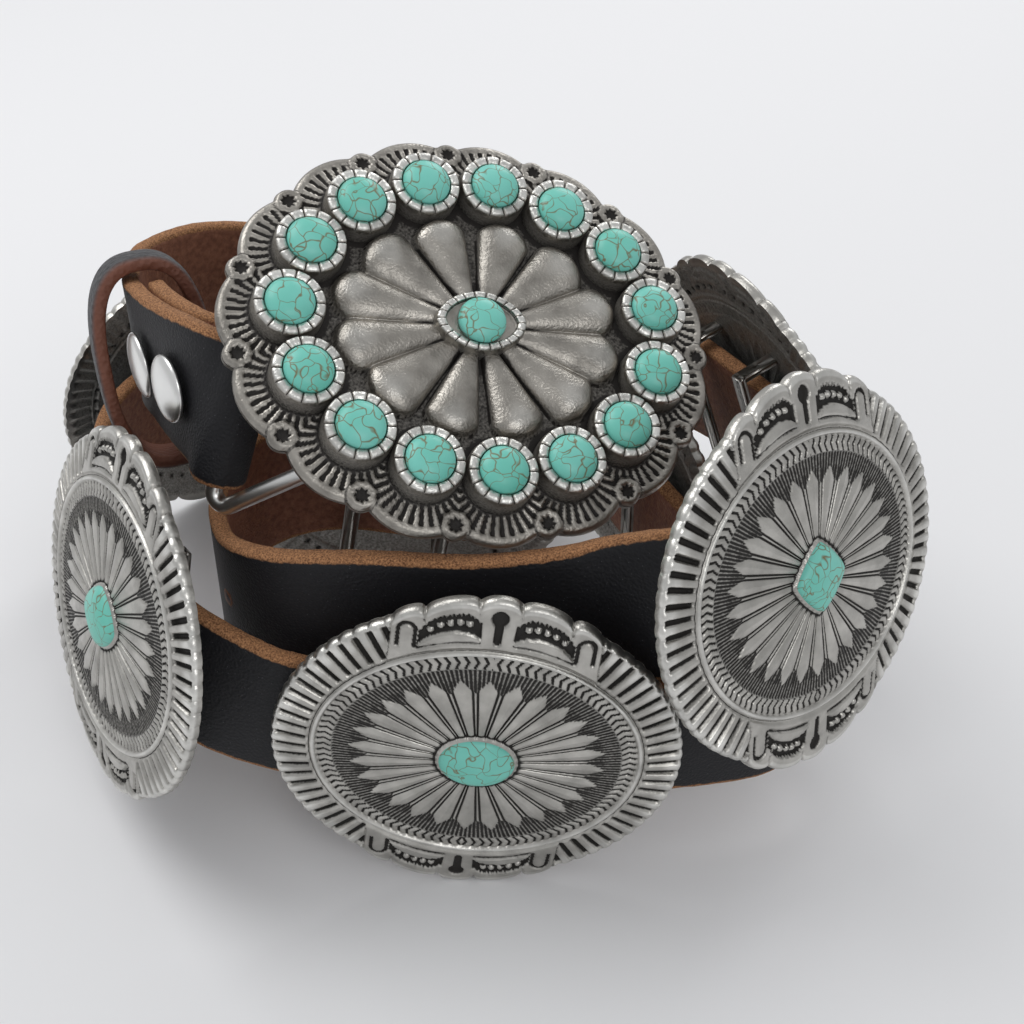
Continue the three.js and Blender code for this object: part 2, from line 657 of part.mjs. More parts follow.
// Bail: wire through the fold on one side and through the buckle's lugs on the other.
function makeBail() {
  const foldMiddle = offsetPoint(foldFrame, 0, -BAIL_SHIFT, -FOLD_RADIUS);
  const lugMiddle = new THREE.Vector3(LUG_SIDE, -BAIL_SHIFT, -LUG_DROP).applyMatrix4(buckleMatrix);
  const half = BAIL_SPAN / 2;
  const corners = [
    foldMiddle.clone().addScaledVector(foldFrame.up, half),
    foldMiddle.clone().addScaledVector(foldFrame.up, -half),
    lugMiddle.clone().addScaledVector(buckleAxes.up, -half),
    lugMiddle.clone().addScaledVector(buckleAxes.up, half),
  ];
  // each corner is an arc of the wire's middle line, so the inside of the sharpest one stays open
  const points = [];
  corners.forEach((corner, i) => {
    const before = corners[(i + 3) % 4].clone().sub(corner).normalize();
    const after = corners[(i + 1) % 4].clone().sub(corner).normalize();
    const bend = before.angleTo(after) / 2;
    const turn = Math.PI - 2 * bend;
    const middle = before.clone().add(after).normalize().multiplyScalar(BAIL_BEND / Math.sin(bend)).add(corner);
    const enter = corner.clone().addScaledVector(before, BAIL_BEND / Math.tan(bend)).sub(middle);
    const leave = corner.clone().addScaledVector(after, BAIL_BEND / Math.tan(bend)).sub(middle);
    const steps = Math.max(3, Math.round(turn / BAIL_STEP));
    for (let k = 0; k <= steps; k++) {
      const left = Math.sin((1 - k / steps) * turn) / Math.sin(turn);
      const right = Math.sin((k / steps) * turn) / Math.sin(turn);
      points.push(middle.clone().addScaledVector(enter, left).addScaledVector(leave, right));
    }
  });
  const across = foldFrame.up.clone().add(buckleAxes.up).cross(lugMiddle.clone().sub(foldMiddle)).normalize();
  const sides = 8;
  const wire = loopMesh(points, (point, i) => {
    const ahead = points[(i + 1) % points.length].clone().sub(points[(i + points.length - 1) % points.length]).normalize();
    const side = across.clone().addScaledVector(ahead, -across.dot(ahead)).normalize();
    const other = ahead.clone().cross(side);
    return Array.from({ length: sides }, (_, k) => {
      const angle = (2 * Math.PI * (k + 0.5)) / sides;
      return point
        .clone()
        .addScaledVector(side, (Math.cos(angle) * WIRE_DIAMETER) / 2)
        .addScaledVector(other, (Math.sin(angle) * WIRE_DIAMETER) / 2);
    });
  });
  addMesh("bail", geometryOf(outward(wire)), bright);
}

makeStrap();
makeSnaps();
makeKeeper();
makeBuckle();
makeBail();
CONCHO_PLACES.forEach((place, i) => makeConcho(i + 1, place));

// The belt stands on z = 0 with its box centred on the origin.
const box = new THREE.Box3().setFromObject(belt);
const centre = box.getCenter(new THREE.Vector3());
belt.position.set(-centre.x, -centre.y, -box.min.z);

export default belt;
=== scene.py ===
# %% [markdown]
# # A coiled concho belt
# The belt stands on its edge in a little more than two turns. Its solids come from CAD as a fixed
# frame, and this script dresses each of them: leather, cast silver, turquoise and wire. Pieces
# are measured in millimetres until a mesh is made, because that is how the belt is made. Lamps
# and textures are in metres, which is how Blender reads them.

# %% Load the frame
import bpy
import math
import numpy as np
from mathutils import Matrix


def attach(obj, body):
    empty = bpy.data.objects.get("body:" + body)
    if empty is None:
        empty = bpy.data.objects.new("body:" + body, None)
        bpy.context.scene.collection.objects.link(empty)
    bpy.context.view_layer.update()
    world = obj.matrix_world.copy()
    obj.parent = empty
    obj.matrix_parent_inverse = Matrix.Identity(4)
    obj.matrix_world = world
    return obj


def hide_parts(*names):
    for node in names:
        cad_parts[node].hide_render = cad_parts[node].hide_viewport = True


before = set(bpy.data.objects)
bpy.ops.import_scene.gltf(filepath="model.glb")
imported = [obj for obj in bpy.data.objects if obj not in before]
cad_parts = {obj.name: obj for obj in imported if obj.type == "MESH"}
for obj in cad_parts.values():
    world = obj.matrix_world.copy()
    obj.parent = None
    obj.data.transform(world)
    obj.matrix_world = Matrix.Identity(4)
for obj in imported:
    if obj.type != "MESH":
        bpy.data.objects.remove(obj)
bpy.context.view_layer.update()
print("frame:", len(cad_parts), "nodes")

MM = 0.001

# %% [markdown]
# ## Camera, floor and light
# The photograph is taken from above the front of the coil, looking down by 38 degrees. A pale
# floor and large soft lamps give the bright sweep and the faint shadow of a product picture. One
# hard lamp would be simpler, but the carving should read from its stained hollows, as it does in
# soft daylight, and not from sharp shadows.

# %% Camera
CAMERA_PLACE = (14.5, -323.4, 301.7)
LOOK_DOWN = 38.16
LENS = 56.4

camera_data = bpy.data.cameras.new("camera")
camera_data.lens = LENS
camera_data.sensor_width = 36
camera = bpy.data.objects.new("camera", camera_data)
camera.location = [v * MM for v in CAMERA_PLACE]
camera.rotation_euler = (math.radians(90 - LOOK_DOWN), 0, 0)
bpy.context.collection.objects.link(camera)
bpy.context.scene.camera = camera
print("camera:", LENS, "mm lens, looking down by", LOOK_DOWN, "degrees")

# %% [markdown]
# ## Helpers for meshes
# Almost every piece is rows of points with quads between them. Blender's own primitives and
# modifiers could start many of them, but rows that are written out can carry a number for each
# point, such as the patina and painted shade that it gets, and the finishes read those numbers.

# %% Mesh helpers


def make_piece(name, points, faces, smooth=True):
    """A mesh object from points in millimetres."""
    mesh = bpy.data.meshes.new(name)
    mesh.from_pydata((np.asarray(points, float) * MM).tolist(), [], faces)
    mesh.validate()
    mesh.update()
    if smooth:
        mesh.shade_smooth()
    piece = bpy.data.objects.new(name, mesh)
    bpy.context.collection.objects.link(piece)
    return piece


def store(piece, name, values):
    """A number for each point, for the materials to read."""
    layer = piece.data.attributes.new(name, "FLOAT", "POINT")
    layer.data.foreach_set("value", np.asarray(values, np.float32).ravel())


def grid_faces(rows, columns, looped=True, start=0):
    """Quads between rows of points, each row closed in a ring if looped."""
    faces = []
    last = columns if looped else columns - 1
    for i in range(rows - 1):
        a = start + i * columns
        b = a + columns
        for j in range(last):
            k = (j + 1) % columns
            faces.append((a + j, a + k, b + k, b + j))
    return faces


def ring_of_rings(rows, columns):
    """Quads between rows of points that close in a ring both ways."""
    count = rows * columns
    faces = grid_faces(rows, columns)
    last = count - columns
    return faces + [(last + j, last + (j + 1) % columns, (j + 1) % columns, j) for j in range(columns)]


def dress(piece, body, material, nodes=()):
    """Seat a piece on its body, in its finish, in place of the nodes that it stands for."""
    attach(piece, body)
    if nodes:
        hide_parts(*nodes)
    piece.data.materials.clear()
    piece.data.materials.append(material)


# %% Floor
FLOOR_SIDE, FLOOR_BACK, FLOOR_DROP = 3000, 4000, -0.2
floor = make_piece(
    "floor",
    [
        (-FLOOR_SIDE, -FLOOR_SIDE, FLOOR_DROP), (FLOOR_SIDE, -FLOOR_SIDE, FLOOR_DROP),
        (FLOOR_SIDE, FLOOR_BACK, FLOOR_DROP), (-FLOOR_SIDE, FLOOR_BACK, FLOOR_DROP),
    ],
    [(0, 1, 2, 3)],
    smooth=False,
)
floor_paint = bpy.data.materials.new("floor_paint")
floor_paint.use_nodes = True
floor_shader = floor_paint.node_tree.nodes["Principled BSDF"]
floor_shader.inputs["Base Color"].default_value = (0.8, 0.8, 0.81, 1)
floor_shader.inputs["Roughness"].default_value = 0.75
floor.data.materials.append(floor_paint)
print("floor:", floor_paint.name)

# %% Lamps


def add_lamp(name, place, aim, size, power, colour=(1, 1, 1)):
    data = bpy.data.lights.new(name, "AREA")
    data.shape = "DISK"
    data.size = size
    data.energy = power
    data.color = colour
    lamp = bpy.data.objects.new(name, data)
    lamp.location = place
    away = np.array(place) - np.array(aim)
    lamp.rotation_euler = (
        math.atan2(math.hypot(away[0], away[1]), away[2]),
        0,
        math.atan2(away[1], away[0]) + math.pi / 2,
    )
    bpy.context.collection.objects.link(lamp)


add_lamp("key_lamp", (-0.55, 0.25, 1.0), (0, 0, 0.05), 0.8, 5.0)
add_lamp("front_lamp", (0.5, -1.0, 0.9), (0, 0, 0.05), 0.6, 2.6)
add_lamp("back_lamp", (0.4, 0.9, 0.7), (0, 0, 0.08), 0.5, 2.4)
print("lamps:", len(bpy.data.lights))

world = bpy.data.worlds.new("studio")
bpy.context.scene.world = world
world.use_nodes = True
world.node_tree.nodes["Background"].inputs["Color"].default_value = (0.97, 0.98, 1.0, 1)
world.node_tree.nodes["Background"].inputs["Strength"].default_value = 0.58
bpy.context.scene.view_settings.view_transform = "Standard"

# %% [markdown]
# ## Shared effects
# Grain, speckle and patina return on several finishes, so each is one node group with its own
# numbers in every material. Heights go to a Bump node in the group, which puts out a normal. An
# image could hold the grain too, but each piece would then have to be unwrapped. A texture in
# space needs no unwrapping, and it runs on without a seam.

# %% Node group helpers


def new_group(name, inputs, outputs):
    group = bpy.data.node_groups.new(name, "ShaderNodeTree")
    for label, kind, value in inputs:
        socket = group.interface.new_socket(label, in_out="INPUT", socket_type=kind)
        if value is not None:
            socket.default_value = value
    for label, kind in outputs:
        group.interface.new_socket(label, in_out="OUTPUT", socket_type=kind)
    return group, group.nodes.new("NodeGroupInput"), group.nodes.new("NodeGroupOutput")


def add_node(tree, kind, settings=None, **inputs):
    """A node with its properties set, and its sockets set or linked."""
    node = tree.nodes.new(kind)
    for key, value in (settings or {}).items():
        setattr(node, key, value)
    for key, value in inputs.items():
        name = key.replace("_", " ")
        socket = node.inputs[int(key[1:])] if key[1:].isdigit() else node.inputs[name]
        if isinstance(value, bpy.types.NodeSocket):
            tree.links.new(value, socket)
        else:
            socket.default_value = value
    return node


def add_ramp(tree, value, stops):
    """A colour ramp from (place, grey or colour) stops."""
    node = add_node(tree, "ShaderNodeValToRGB", Fac=value)
    while len(node.color_ramp.elements) < len(stops):
        node.color_ramp.elements.new(0.5)
    for element, (place, colour) in zip(node.color_ramp.elements, stops):
        element.position = place
        element.color = (colour, colour, colour, 1) if isinstance(colour, (int, float)) else (*colour, 1)
    return node.outputs["Color"]


def add_mix(tree, share, first, second):
    """A mix of two colours, each of them a value or a socket."""
    node = add_node(tree, "ShaderNodeMix", {"data_type": "RGBA"})
    for index, value in ((0, share), (6, first), (7, second)):
        if isinstance(value, bpy.types.NodeSocket):
            tree.links.new(value, node.inputs[index])
        else:
            node.inputs[index].default_value = value if index == 0 else (*value, 1)
    return node.outputs[2]


def object_place(tree):
    return add_node(tree, "ShaderNodeTexCoord").outputs["Object"]


# %% Leather grain
grain_group, grain_in, grain_out = new_group(
    "leather_grain",
    [("Scale", "NodeSocketFloat", 900.0), ("Depth", "NodeSocketFloat", 0.3)],
    [("Normal", "NodeSocketVector"), ("Mask", "NodeSocketFloat")],
)
grain_place = object_place(grain_group)
grain_cells = add_node(
    grain_group, "ShaderNodeTexVoronoi", Vector=grain_place, Scale=grain_in.outputs["Scale"]
)
grain_noise = add_node(
    grain_group, "ShaderNodeTexNoise", Vector=grain_place, Scale=grain_in.outputs["Scale"], Detail=4.0
)
grain_height = add_node(
    grain_group,
    "ShaderNodeMath",
    {"operation": "ADD"},
    _0=grain_cells.outputs["Distance"],
    _1=grain_noise.outputs["Fac"],
)
grain_bump = add_node(
    grain_group,
    "ShaderNodeBump",
    Strength=grain_in.outputs["Depth"],
    Distance=0.0004,
    Height=grain_height.outputs[0],
)
grain_group.links.new(grain_bump.outputs["Normal"], grain_out.inputs["Normal"])
grain_group.links.new(grain_noise.outputs["Fac"], grain_out.inputs["Mask"])

# %% [markdown]
# ## Cast metal
# The real castings are dipped in a dark bath and then rubbed bright, so that black stays in the
# cuts. A node that measures occlusion could find the cuts, but it is slow and grainy. Here each
# mesh keeps a number at each point: about 1 in a cut, 0 on the open face, and less than 0 on the
# ridges. The number holds the black patina in the cuts, painted shade on sloping flanks, walls and
# the hollow backs, and lighter ridges that are partly rubbed polish and partly painted highlight.
# The patina and painted shade group mixes its colours by that number.

# %% Patina and painted shade
patina_and_shade_group, patina_in, patina_out = new_group(
    "patina_and_shade",
    [
        ("Light", "NodeSocketColor", (0.7, 0.68, 0.63, 1)),
        ("Dark", "NodeSocketColor", (0.02, 0.018, 0.016, 1)),
        ("Stain", "NodeSocketFloat", 0.3),
        ("Hollow and shade", "NodeSocketFloat", 0.0),
        ("Grain", "NodeSocketFloat", 0.1),
    ],
    [("Color", "NodeSocketColor"), ("Roughness", "NodeSocketFloat"), ("Normal", "NodeSocketVector"),
     ("Metallic", "NodeSocketFloat")],
)
patina_place = object_place(patina_and_shade_group)
patina_cloud = add_node(patina_and_shade_group, "ShaderNodeTexNoise", Vector=patina_place, Scale=160.0, Detail=6.0)
patina_fine = add_node(patina_and_shade_group, "ShaderNodeTexNoise", Vector=patina_place, Scale=1700.0, Detail=3.0)
cloud_ramp = add_ramp(patina_and_shade_group, patina_cloud.outputs["Fac"], [(0.35, 0.0), (0.7, 1.0)])
stain_amount = add_node(
    patina_and_shade_group, "ShaderNodeMath", {"operation": "MULTIPLY"}, _0=cloud_ramp, _1=patina_in.outputs["Stain"]
)
# the hollow number plus fine noise: black patina in the cuts and painted shade on flanks and walls
patina_and_shade_edge = add_node(
    patina_and_shade_group, "ShaderNodeMath", {"operation": "MULTIPLY_ADD"},
    _0=patina_fine.outputs["Fac"], _1=0.5, _2=patina_in.outputs["Hollow and shade"],
)
patina_and_shade_mask = add_ramp(patina_and_shade_group, patina_and_shade_edge.outputs[0], [(0.5, 0.0), (0.95, 1.0)])
dark_share = add_node(
    patina_and_shade_group, "ShaderNodeMath", {"operation": "MAXIMUM"}, _0=patina_and_shade_mask, _1=stain_amount.outputs[0]
)
patina_rough = add_node(
    patina_and_shade_group, "ShaderNodeMapRange", Value=dark_share.outputs[0], To_Min=0.3, To_Max=0.62
)
# below 0 the light colour is mixed paler: lighter ridges, partly rubbed polish and partly painted highlight
polish_and_highlight = add_node(
    patina_and_shade_group, "ShaderNodeMapRange", Value=patina_in.outputs["Hollow and shade"], From_Min=-0.05, From_Max=-0.6
)
light_with_highlight = add_mix(
    patina_and_shade_group, polish_and_highlight.outputs["Result"], patina_in.outputs["Light"], (0.84, 0.83, 0.79)
)
patina_and_shade_colour = add_mix(patina_and_shade_group, dark_share.outputs[0], light_with_highlight, patina_in.outputs["Dark"])
patina_metal = add_node(
    patina_and_shade_group, "ShaderNodeMapRange", Value=patina_and_shade_mask, To_Min=1.0, To_Max=0.3
)
patina_bump = add_node(
    patina_and_shade_group, "ShaderNodeBump", Strength=patina_in.outputs["Grain"], Distance=0.0003,
    Height=patina_fine.outputs["Fac"],
)
patina_and_shade_group.links.new(patina_and_shade_colour, patina_out.inputs["Color"])
patina_and_shade_group.links.new(patina_rough.outputs["Result"], patina_out.inputs["Roughness"])
patina_and_shade_group.links.new(patina_bump.outputs["Normal"], patina_out.inputs["Normal"])
patina_and_shade_group.links.new(patina_metal.outputs["Result"], patina_out.inputs["Metallic"])

# %% Material helpers


def new_material(name):
    material = bpy.data.materials.new(name)
    material.use_nodes = True
    return material, material.node_tree, material.node_tree.nodes["Principled BSDF"]


def use_group(tree, group, **inputs):
    node = tree.nodes.new("ShaderNodeGroup")
    node.node_tree = group
    for key, value in inputs.items():
        if isinstance(value, bpy.types.NodeSocket):
            tree.links.new(value, node.inputs[key])
        else:
            node.inputs[key].default_value = value
    return node


def read_number(tree, name):
    return add_node(tree, "ShaderNodeAttribute", {"attribute_name": name}).outputs["Fac"]


def metal_material(name, light, dark, back_shade, grain, hollow=True):
    material, tree, shader = new_material(name)
    # the hollow number holds patina, painted shade and painted highlight for the group to mix
    patina_and_shade = use_group(
        tree, patina_and_shade_group, Light=(*light, 1), Dark=(*dark, 1), Stain=back_shade, Grain=grain,
        **({"Hollow and shade": read_number(tree, "hollow")} if hollow else {}),
    )
    tree.links.new(patina_and_shade.outputs["Color"], shader.inputs["Base Color"])
    for label in ("Roughness", "Metallic", "Normal"):
        tree.links.new(patina_and_shade.outputs[label], shader.inputs[label])
    return material


silver = metal_material("antique_silver", (0.52, 0.505, 0.47), (0.014, 0.012, 0.01), 0.34, 0.3)
pewter = metal_material("antique_pewter", (0.44, 0.415, 0.375), (0.02, 0.017, 0.015), 0.5, 0.55)
bright_metal = metal_material("bright_wire", (0.82, 0.82, 0.8), (0.1, 0.1, 0.1), 0.06, 0.03, hollow=False)
print("metals:", silver.name, pewter.name, bright_metal.name)

# %% [markdown]
# ## Turquoise
# Each stone is a pale green-blue crossed by thin golden-brown veins. Cell edges of a Voronoi
# texture, bent by noise, give the net, and a noise thins the veins here and there. A painted
# picture could copy one stone exactly, but this gives every stone its own veins.

# %% Turquoise
turquoise, stone_tree, stone_shader = new_material("turquoise_stone")
stone_place = object_place(stone_tree)
stone_bend = add_node(stone_tree, "ShaderNodeTexNoise", Vector=stone_place, Scale=230.0, Detail=1.0)
stone_shift = add_mix(stone_tree, 0.006, stone_place, stone_bend.outputs["Color"])
stone_cells = add_node(
    stone_tree, "ShaderNodeTexVoronoi", {"feature": "DISTANCE_TO_EDGE"}, Vector=stone_shift, Scale=270.0
)
stone_gate = add_node(stone_tree, "ShaderNodeTexNoise", Vector=stone_place, Scale=120.0, Detail=2.0)
vein_width = add_node(
    stone_tree, "ShaderNodeMapRange", Value=stone_gate.outputs["Fac"],
    From_Min=0.35, From_Max=0.7, To_Min=0.02, To_Max=0.075,
)
vein = add_node(
    stone_tree, "ShaderNodeMapRange", Value=stone_cells.outputs["Distance"],
    From_Min=0.0, From_Max=vein_width.outputs["Result"], To_Min=1.0, To_Max=0.0,
)
stone_cloud = add_node(stone_tree, "ShaderNodeTexNoise", Vector=stone_place, Scale=60.0, Detail=4.0)
stone_body = add_ramp(
    stone_tree, stone_cloud.outputs["Fac"], [(0.3, (0.12, 0.5, 0.4)), (0.7, (0.2, 0.6, 0.52))]
)
stone_veined = add_mix(stone_tree, vein.outputs["Result"], stone_body, (0.17, 0.115, 0.04))
stone_tree.links.new(stone_veined, stone_shader.inputs["Base Color"])
stone_shader.inputs["Roughness"].default_value = 0.42
stone_shader.inputs["Coat Weight"].default_value = 0.12
stone_shader.inputs["Coat Roughness"].default_value = 0.25
print("stone:", turquoise.name)

# %% [markdown]
# ## Leather finishes
# The strap is dyed black on its outer face. The dye stops a millimetre or two short of the cut
# edge, where the tan fibres show, and the flesh side is bare brown. Numbers kept on the mesh tell
# the material how far each point lies from the edge and which side it is on. Separate materials
# for the faces could do the same, but the dye would then end in a straight line.

# %% Strap leather
strap_leather, strap_tree, strap_shader = new_material("strap_leather")
strap_grain = use_group(strap_tree, grain_group, Scale=1500.0, Depth=0.35)
strap_place = object_place(strap_tree)
edge_noise = add_node(strap_tree, "ShaderNodeTexNoise", Vector=strap_place, Scale=700.0, Detail=5.0)
fibre_noise = add_node(strap_tree, "ShaderNodeTexNoise", Vector=strap_place, Scale=2600.0, Detail=4.0)
speck_noise = add_node(strap_tree, "ShaderNodeTexVoronoi", Vector=strap_place, Scale=900.0)
ragged_edge = add_node(
    strap_tree, "ShaderNodeMath", {"operation": "MULTIPLY_ADD"},
    _0=edge_noise.outputs["Fac"], _1=1.1, _2=read_number(strap_tree, "from_edge"),
)
dyed = add_node(
    strap_tree, "ShaderNodeMapRange", Value=ragged_edge.outputs[0], From_Min=1.5, From_Max=1.95
)
tan_colour = add_ramp(
    strap_tree, fibre_noise.outputs["Fac"], [(0.32, (0.1, 0.04, 0.018)), (0.66, (0.44, 0.22, 0.1))]
)
flesh_colour = add_ramp(
    strap_tree, edge_noise.outputs["Fac"], [(0.3, (0.16, 0.06, 0.035)), (0.7, (0.3, 0.13, 0.075))]
)
specks = add_ramp(strap_tree, speck_noise.outputs["Distance"], [(0.05, 1.0), (0.11, 0.0)])
black_colour = add_mix(strap_tree, specks, (0.008, 0.008, 0.01), (0.09, 0.09, 0.1))
face_colour = add_mix(strap_tree, read_number(strap_tree, "outer"), flesh_colour, black_colour)
strap_colour = add_mix(strap_tree, dyed.outputs["Result"], tan_colour, face_colour)
strap_tree.links.new(strap_colour, strap_shader.inputs["Base Color"])
strap_rough = add_node(
    strap_tree, "ShaderNodeMapRange", Value=dyed.outputs["Result"], To_Min=0.9, To_Max=0.58
)
strap_tree.links.new(strap_rough.outputs["Result"], strap_shader.inputs["Roughness"])
strap_tree.links.new(strap_grain.outputs["Normal"], strap_shader.inputs["Normal"])
strap_shader.inputs["Specular IOR Level"].default_value = 0.35

# %% Keeper leather
keeper_leather, keeper_tree, keeper_shader = new_material("keeper_leather")
keeper_grain = use_group(keeper_tree, grain_group, Scale=750.0, Depth=0.7)
keeper_face = add_ramp(
    keeper_tree, keeper_grain.outputs["Mask"], [(0.35, (0.02, 0.02, 0.022)), (0.7, (0.075, 0.075, 0.08))]
)
keeper_mix = add_mix(keeper_tree, read_number(keeper_tree, "outer"), (0.17, 0.06, 0.035), keeper_face)
keeper_tree.links.new(keeper_mix, keeper_shader.inputs["Base Color"])
keeper_tree.links.new(keeper_grain.outputs["Normal"], keeper_shader.inputs["Normal"])
keeper_shader.inputs["Roughness"].default_value = 0.62
print("leathers:", strap_leather.name, keeper_leather.name)

# %% [markdown]
# ## The route of the strap
# The strap's middle line is a smooth curve through points that were placed in CAD. The same
# points and the same curve are used here, so that each piece lands where its solid is. A Blender
# curve through the points would bend a little differently between them.

# %% Route
STRAP_WIDTH = 34
STRAP_THICKNESS = 4
COIL_WIDTH = 200
COIL_DEPTH = 150
CONCHO_HEIGHT = 88
BELT_SHIFT = np.array([14.4754, -5.3833, 1.8736])
# x and y as shares of half the coil, z as a share of the concho's height, and the lean
COIL_ROUTE = np.array([
    (-0.64, -0.407, 1.16, 23), (-0.695, -0.327, 1.16, 11), (-0.77, -0.18, 1.13, 4),
    (-0.845, 0.00667, 1.09, 0), (-0.91, 0.24, 1.03, 0), (-0.92, 0.507, 1, 0),
    (-0.79, 0.747, 0.955, 2), (-0.52, 0.88, 0.864, 2), (-0.2, 0.88, 0.739, 3),
    (0.05, 0.72, 0.614, 5), (0.24, 0.387, 0.523, 6), (0.39, 0.0133, 0.477, 5),
    (0.51, -0.28, 0.455, 3), (0.6, -0.507, 0.426, 2), (0.65, -0.64, 0.412, 1),
    (0.61, -0.767, 0.412, 0), (0.44, -0.86, 0.438, 0), (0.17, -0.92, 0.466, 0),
    (-0.076, -0.925, 0.474, 0), (-0.32, -0.913, 0.494, 1), (-0.55, -0.873, 0.528, 4),
    (-0.73, -0.78, 0.593, 12), (-0.865, -0.551, 0.606, 15), (-0.975, -0.24, 0.574, 15),
    (-1.07, 0.133, 0.523, 11), (-1.08, 0.48, 0.489, 7), (-0.98, 0.773, 0.477, 5),
    (-0.8, 0.973, 0.477, 5), (-0.58, 1.09, 0.477, 5), (-0.3, 1.15, 0.489, 5),
    (-0.04, 1.13, 0.511, 5), (0.26, 0.96, 0.591, 8), (0.46, 0.613, 0.693, 12),
    (0.6, 0.24, 0.761, 16), (0.73, -0.107, 0.795, 17), (0.81, -0.36, 0.818, 15),
    (0.79, -0.493, 0.83, 16), (0.695, -0.596, 0.855, 18), (0.595, -0.724, 0.876, 18),
    (0.495, -0.837, 0.895, 18), (0.385, -0.893, 0.892, 15), (0.18, -0.8, 0.795, 5),
    (-0.07, -0.8, 0.767, 1), (-0.3, -0.787, 0.773, 0), (-0.5, -0.733, 0.739, 0),
    (-0.62, -0.587, 0.682, 0), (-0.675, -0.373, 0.659, 0), (-0.66, -0.16, 0.659, 0),
    (-0.6, 0.0267, 0.642, 0), (-0.44, 0.127, 0.625, 0), (-0.22, 0.147, 0.58, 0),
    (0, 0.133, 0.557, 0),
])
route_points = COIL_ROUTE[:, :3] * [COIL_WIDTH / 2, COIL_DEPTH / 2, CONCHO_HEIGHT] + BELT_SHIFT


def spline_point(table, share):
    """The point at a share of the way along a smooth curve through a table's rows."""
    last = len(table) - 1
    place = share * last
    i = min(int(place), last - 1)
    t = place - i
    before = table[i - 1] if i > 0 else 2 * table[0] - table[1]
    after = table[i + 2] if i + 2 <= last else 2 * table[last] - table[last - 1]
    a, b = table[i], table[i + 1]
    start = (b - before) / 2
    end = (after - a) / 2
    return a + start * t + (3 * (b - a) - 2 * start - end) * t**2 + (2 * (a - b) + start + end) * t**3


def unit(v):
    return v / np.linalg.norm(v)


def frame_at(share):
    """Point, along, up across the strap, and outward, at a share of the route."""
    step = 1e-4
    ahead = spline_point(route_points, min(share + step, 1))
    behind = spline_point(route_points, max(share - step, 0))
    along = unit(ahead - behind)
    level = unit(np.array([0, 0, 1.0]) - along * along[2])
    out = unit(np.cross(level, along))
    lean = math.radians(spline_point(COIL_ROUTE[:, 3:], share)[0])
    up = level * math.cos(lean) - out * math.sin(lean)
    return spline_point(route_points, share), along, up, out * math.cos(lean) + level * math.sin(lean)


route_shares = np.linspace(0, 1, 1041)
route_steps = np.array([spline_point(route_points, s) for s in route_shares])
route_lengths = np.concatenate([[0], np.cumsum(np.linalg.norm(np.diff(route_steps, axis=0), axis=1))])
route_length = route_lengths[-1]


def share_at(length):
    return float(np.interp(length, route_lengths, route_shares))


print("strap beyond the fold:", round(route_length), "mm")

# %% [markdown]
# ## Strap
# The strap is a flat section with softened corners, swept along the route. Its buckle end turns
# round the bail and lies behind itself, held by the snaps. Rows every two millimetres keep the
# bends smooth, and the punched holes are cut through with a Boolean. A strip bent by a Curve
# modifier would be quicker, but it couldn't lean and twist by the same amounts.

# %% Strap section
FOLD_BACK = 40
FOLD_SPREAD = 0.35
LAYER_GAP = 0.8
WIRE_DIAMETER = 4
CLEARANCE = 0.3
FOLD_RADIUS = WIRE_DIAMETER / 2 + CLEARANCE + 0.2 + STRAP_THICKNESS / 2
FOLD_ROWS, TURN_ROWS = 20, 16
ROW_STEP = 2.0
EDGE_FUZZ = 0.06

half_width = STRAP_WIDTH / 2
half_thick = STRAP_THICKNESS / 2
bevel = 1.1
FACE_POINTS = 15
across = np.linspace(-half_width + bevel, half_width - bevel, FACE_POINTS)
face_side = [(v, half_thick, 1) for v in across]
top_edge = [
    (half_width - bevel * 0.3, half_thick - bevel * 0.3, 0.5), (half_width, half_thick - bevel, 0.5),
    (half_width, 0, 0.5), (half_width - 0.1, -half_thick + 0.4, 0.5),
]
flesh_side = [(v, -half_thick, 0) for v in across[::-1]]
low_edge = [(-v, w, o) for v, w, o in reversed(top_edge)]
strap_section = face_side + top_edge + flesh_side + low_edge
print("strap section:", len(strap_section), "points")


def fold_offset(length):
    """How far the folded layer lies behind the strap."""
    spread = max(0, 1 - length / (FOLD_BACK * FOLD_SPREAD))
    closed = STRAP_THICKNESS + LAYER_GAP
    return closed + (2 * FOLD_RADIUS - closed) * spread * spread * (3 - 2 * spread)


def offset_point(place, up=0, out=0, along=0):
    return place[0] + place[1] * along + place[2] * up + place[3] * out


def strap_rows():
    """The middle, up and outward of each row of the strap, from the folded end to the tip."""
    rows = []
    for length in np.linspace(FOLD_BACK, 0.5, FOLD_ROWS):
        place = frame_at(share_at(length))
        rows.append((offset_point(place, out=-fold_offset(length)), place[2], -place[3]))
    first = frame_at(0)
    for angle in np.linspace(-math.pi / 2, math.pi / 2, TURN_ROWS, endpoint=False):
        c, s = math.cos(angle), math.sin(angle)
        middle = offset_point(first, along=-c * FOLD_RADIUS, out=(s - 1) * FOLD_RADIUS)
        rows.append((middle, first[2], -first[1] * c + first[3] * s))
    for length in np.arange(0, route_length, ROW_STEP):
        place = frame_at(share_at(length))
        rows.append((place[0], place[2], place[3]))
    last = frame_at(1)
    rows.append((last[0], last[2], last[3]))
    return rows


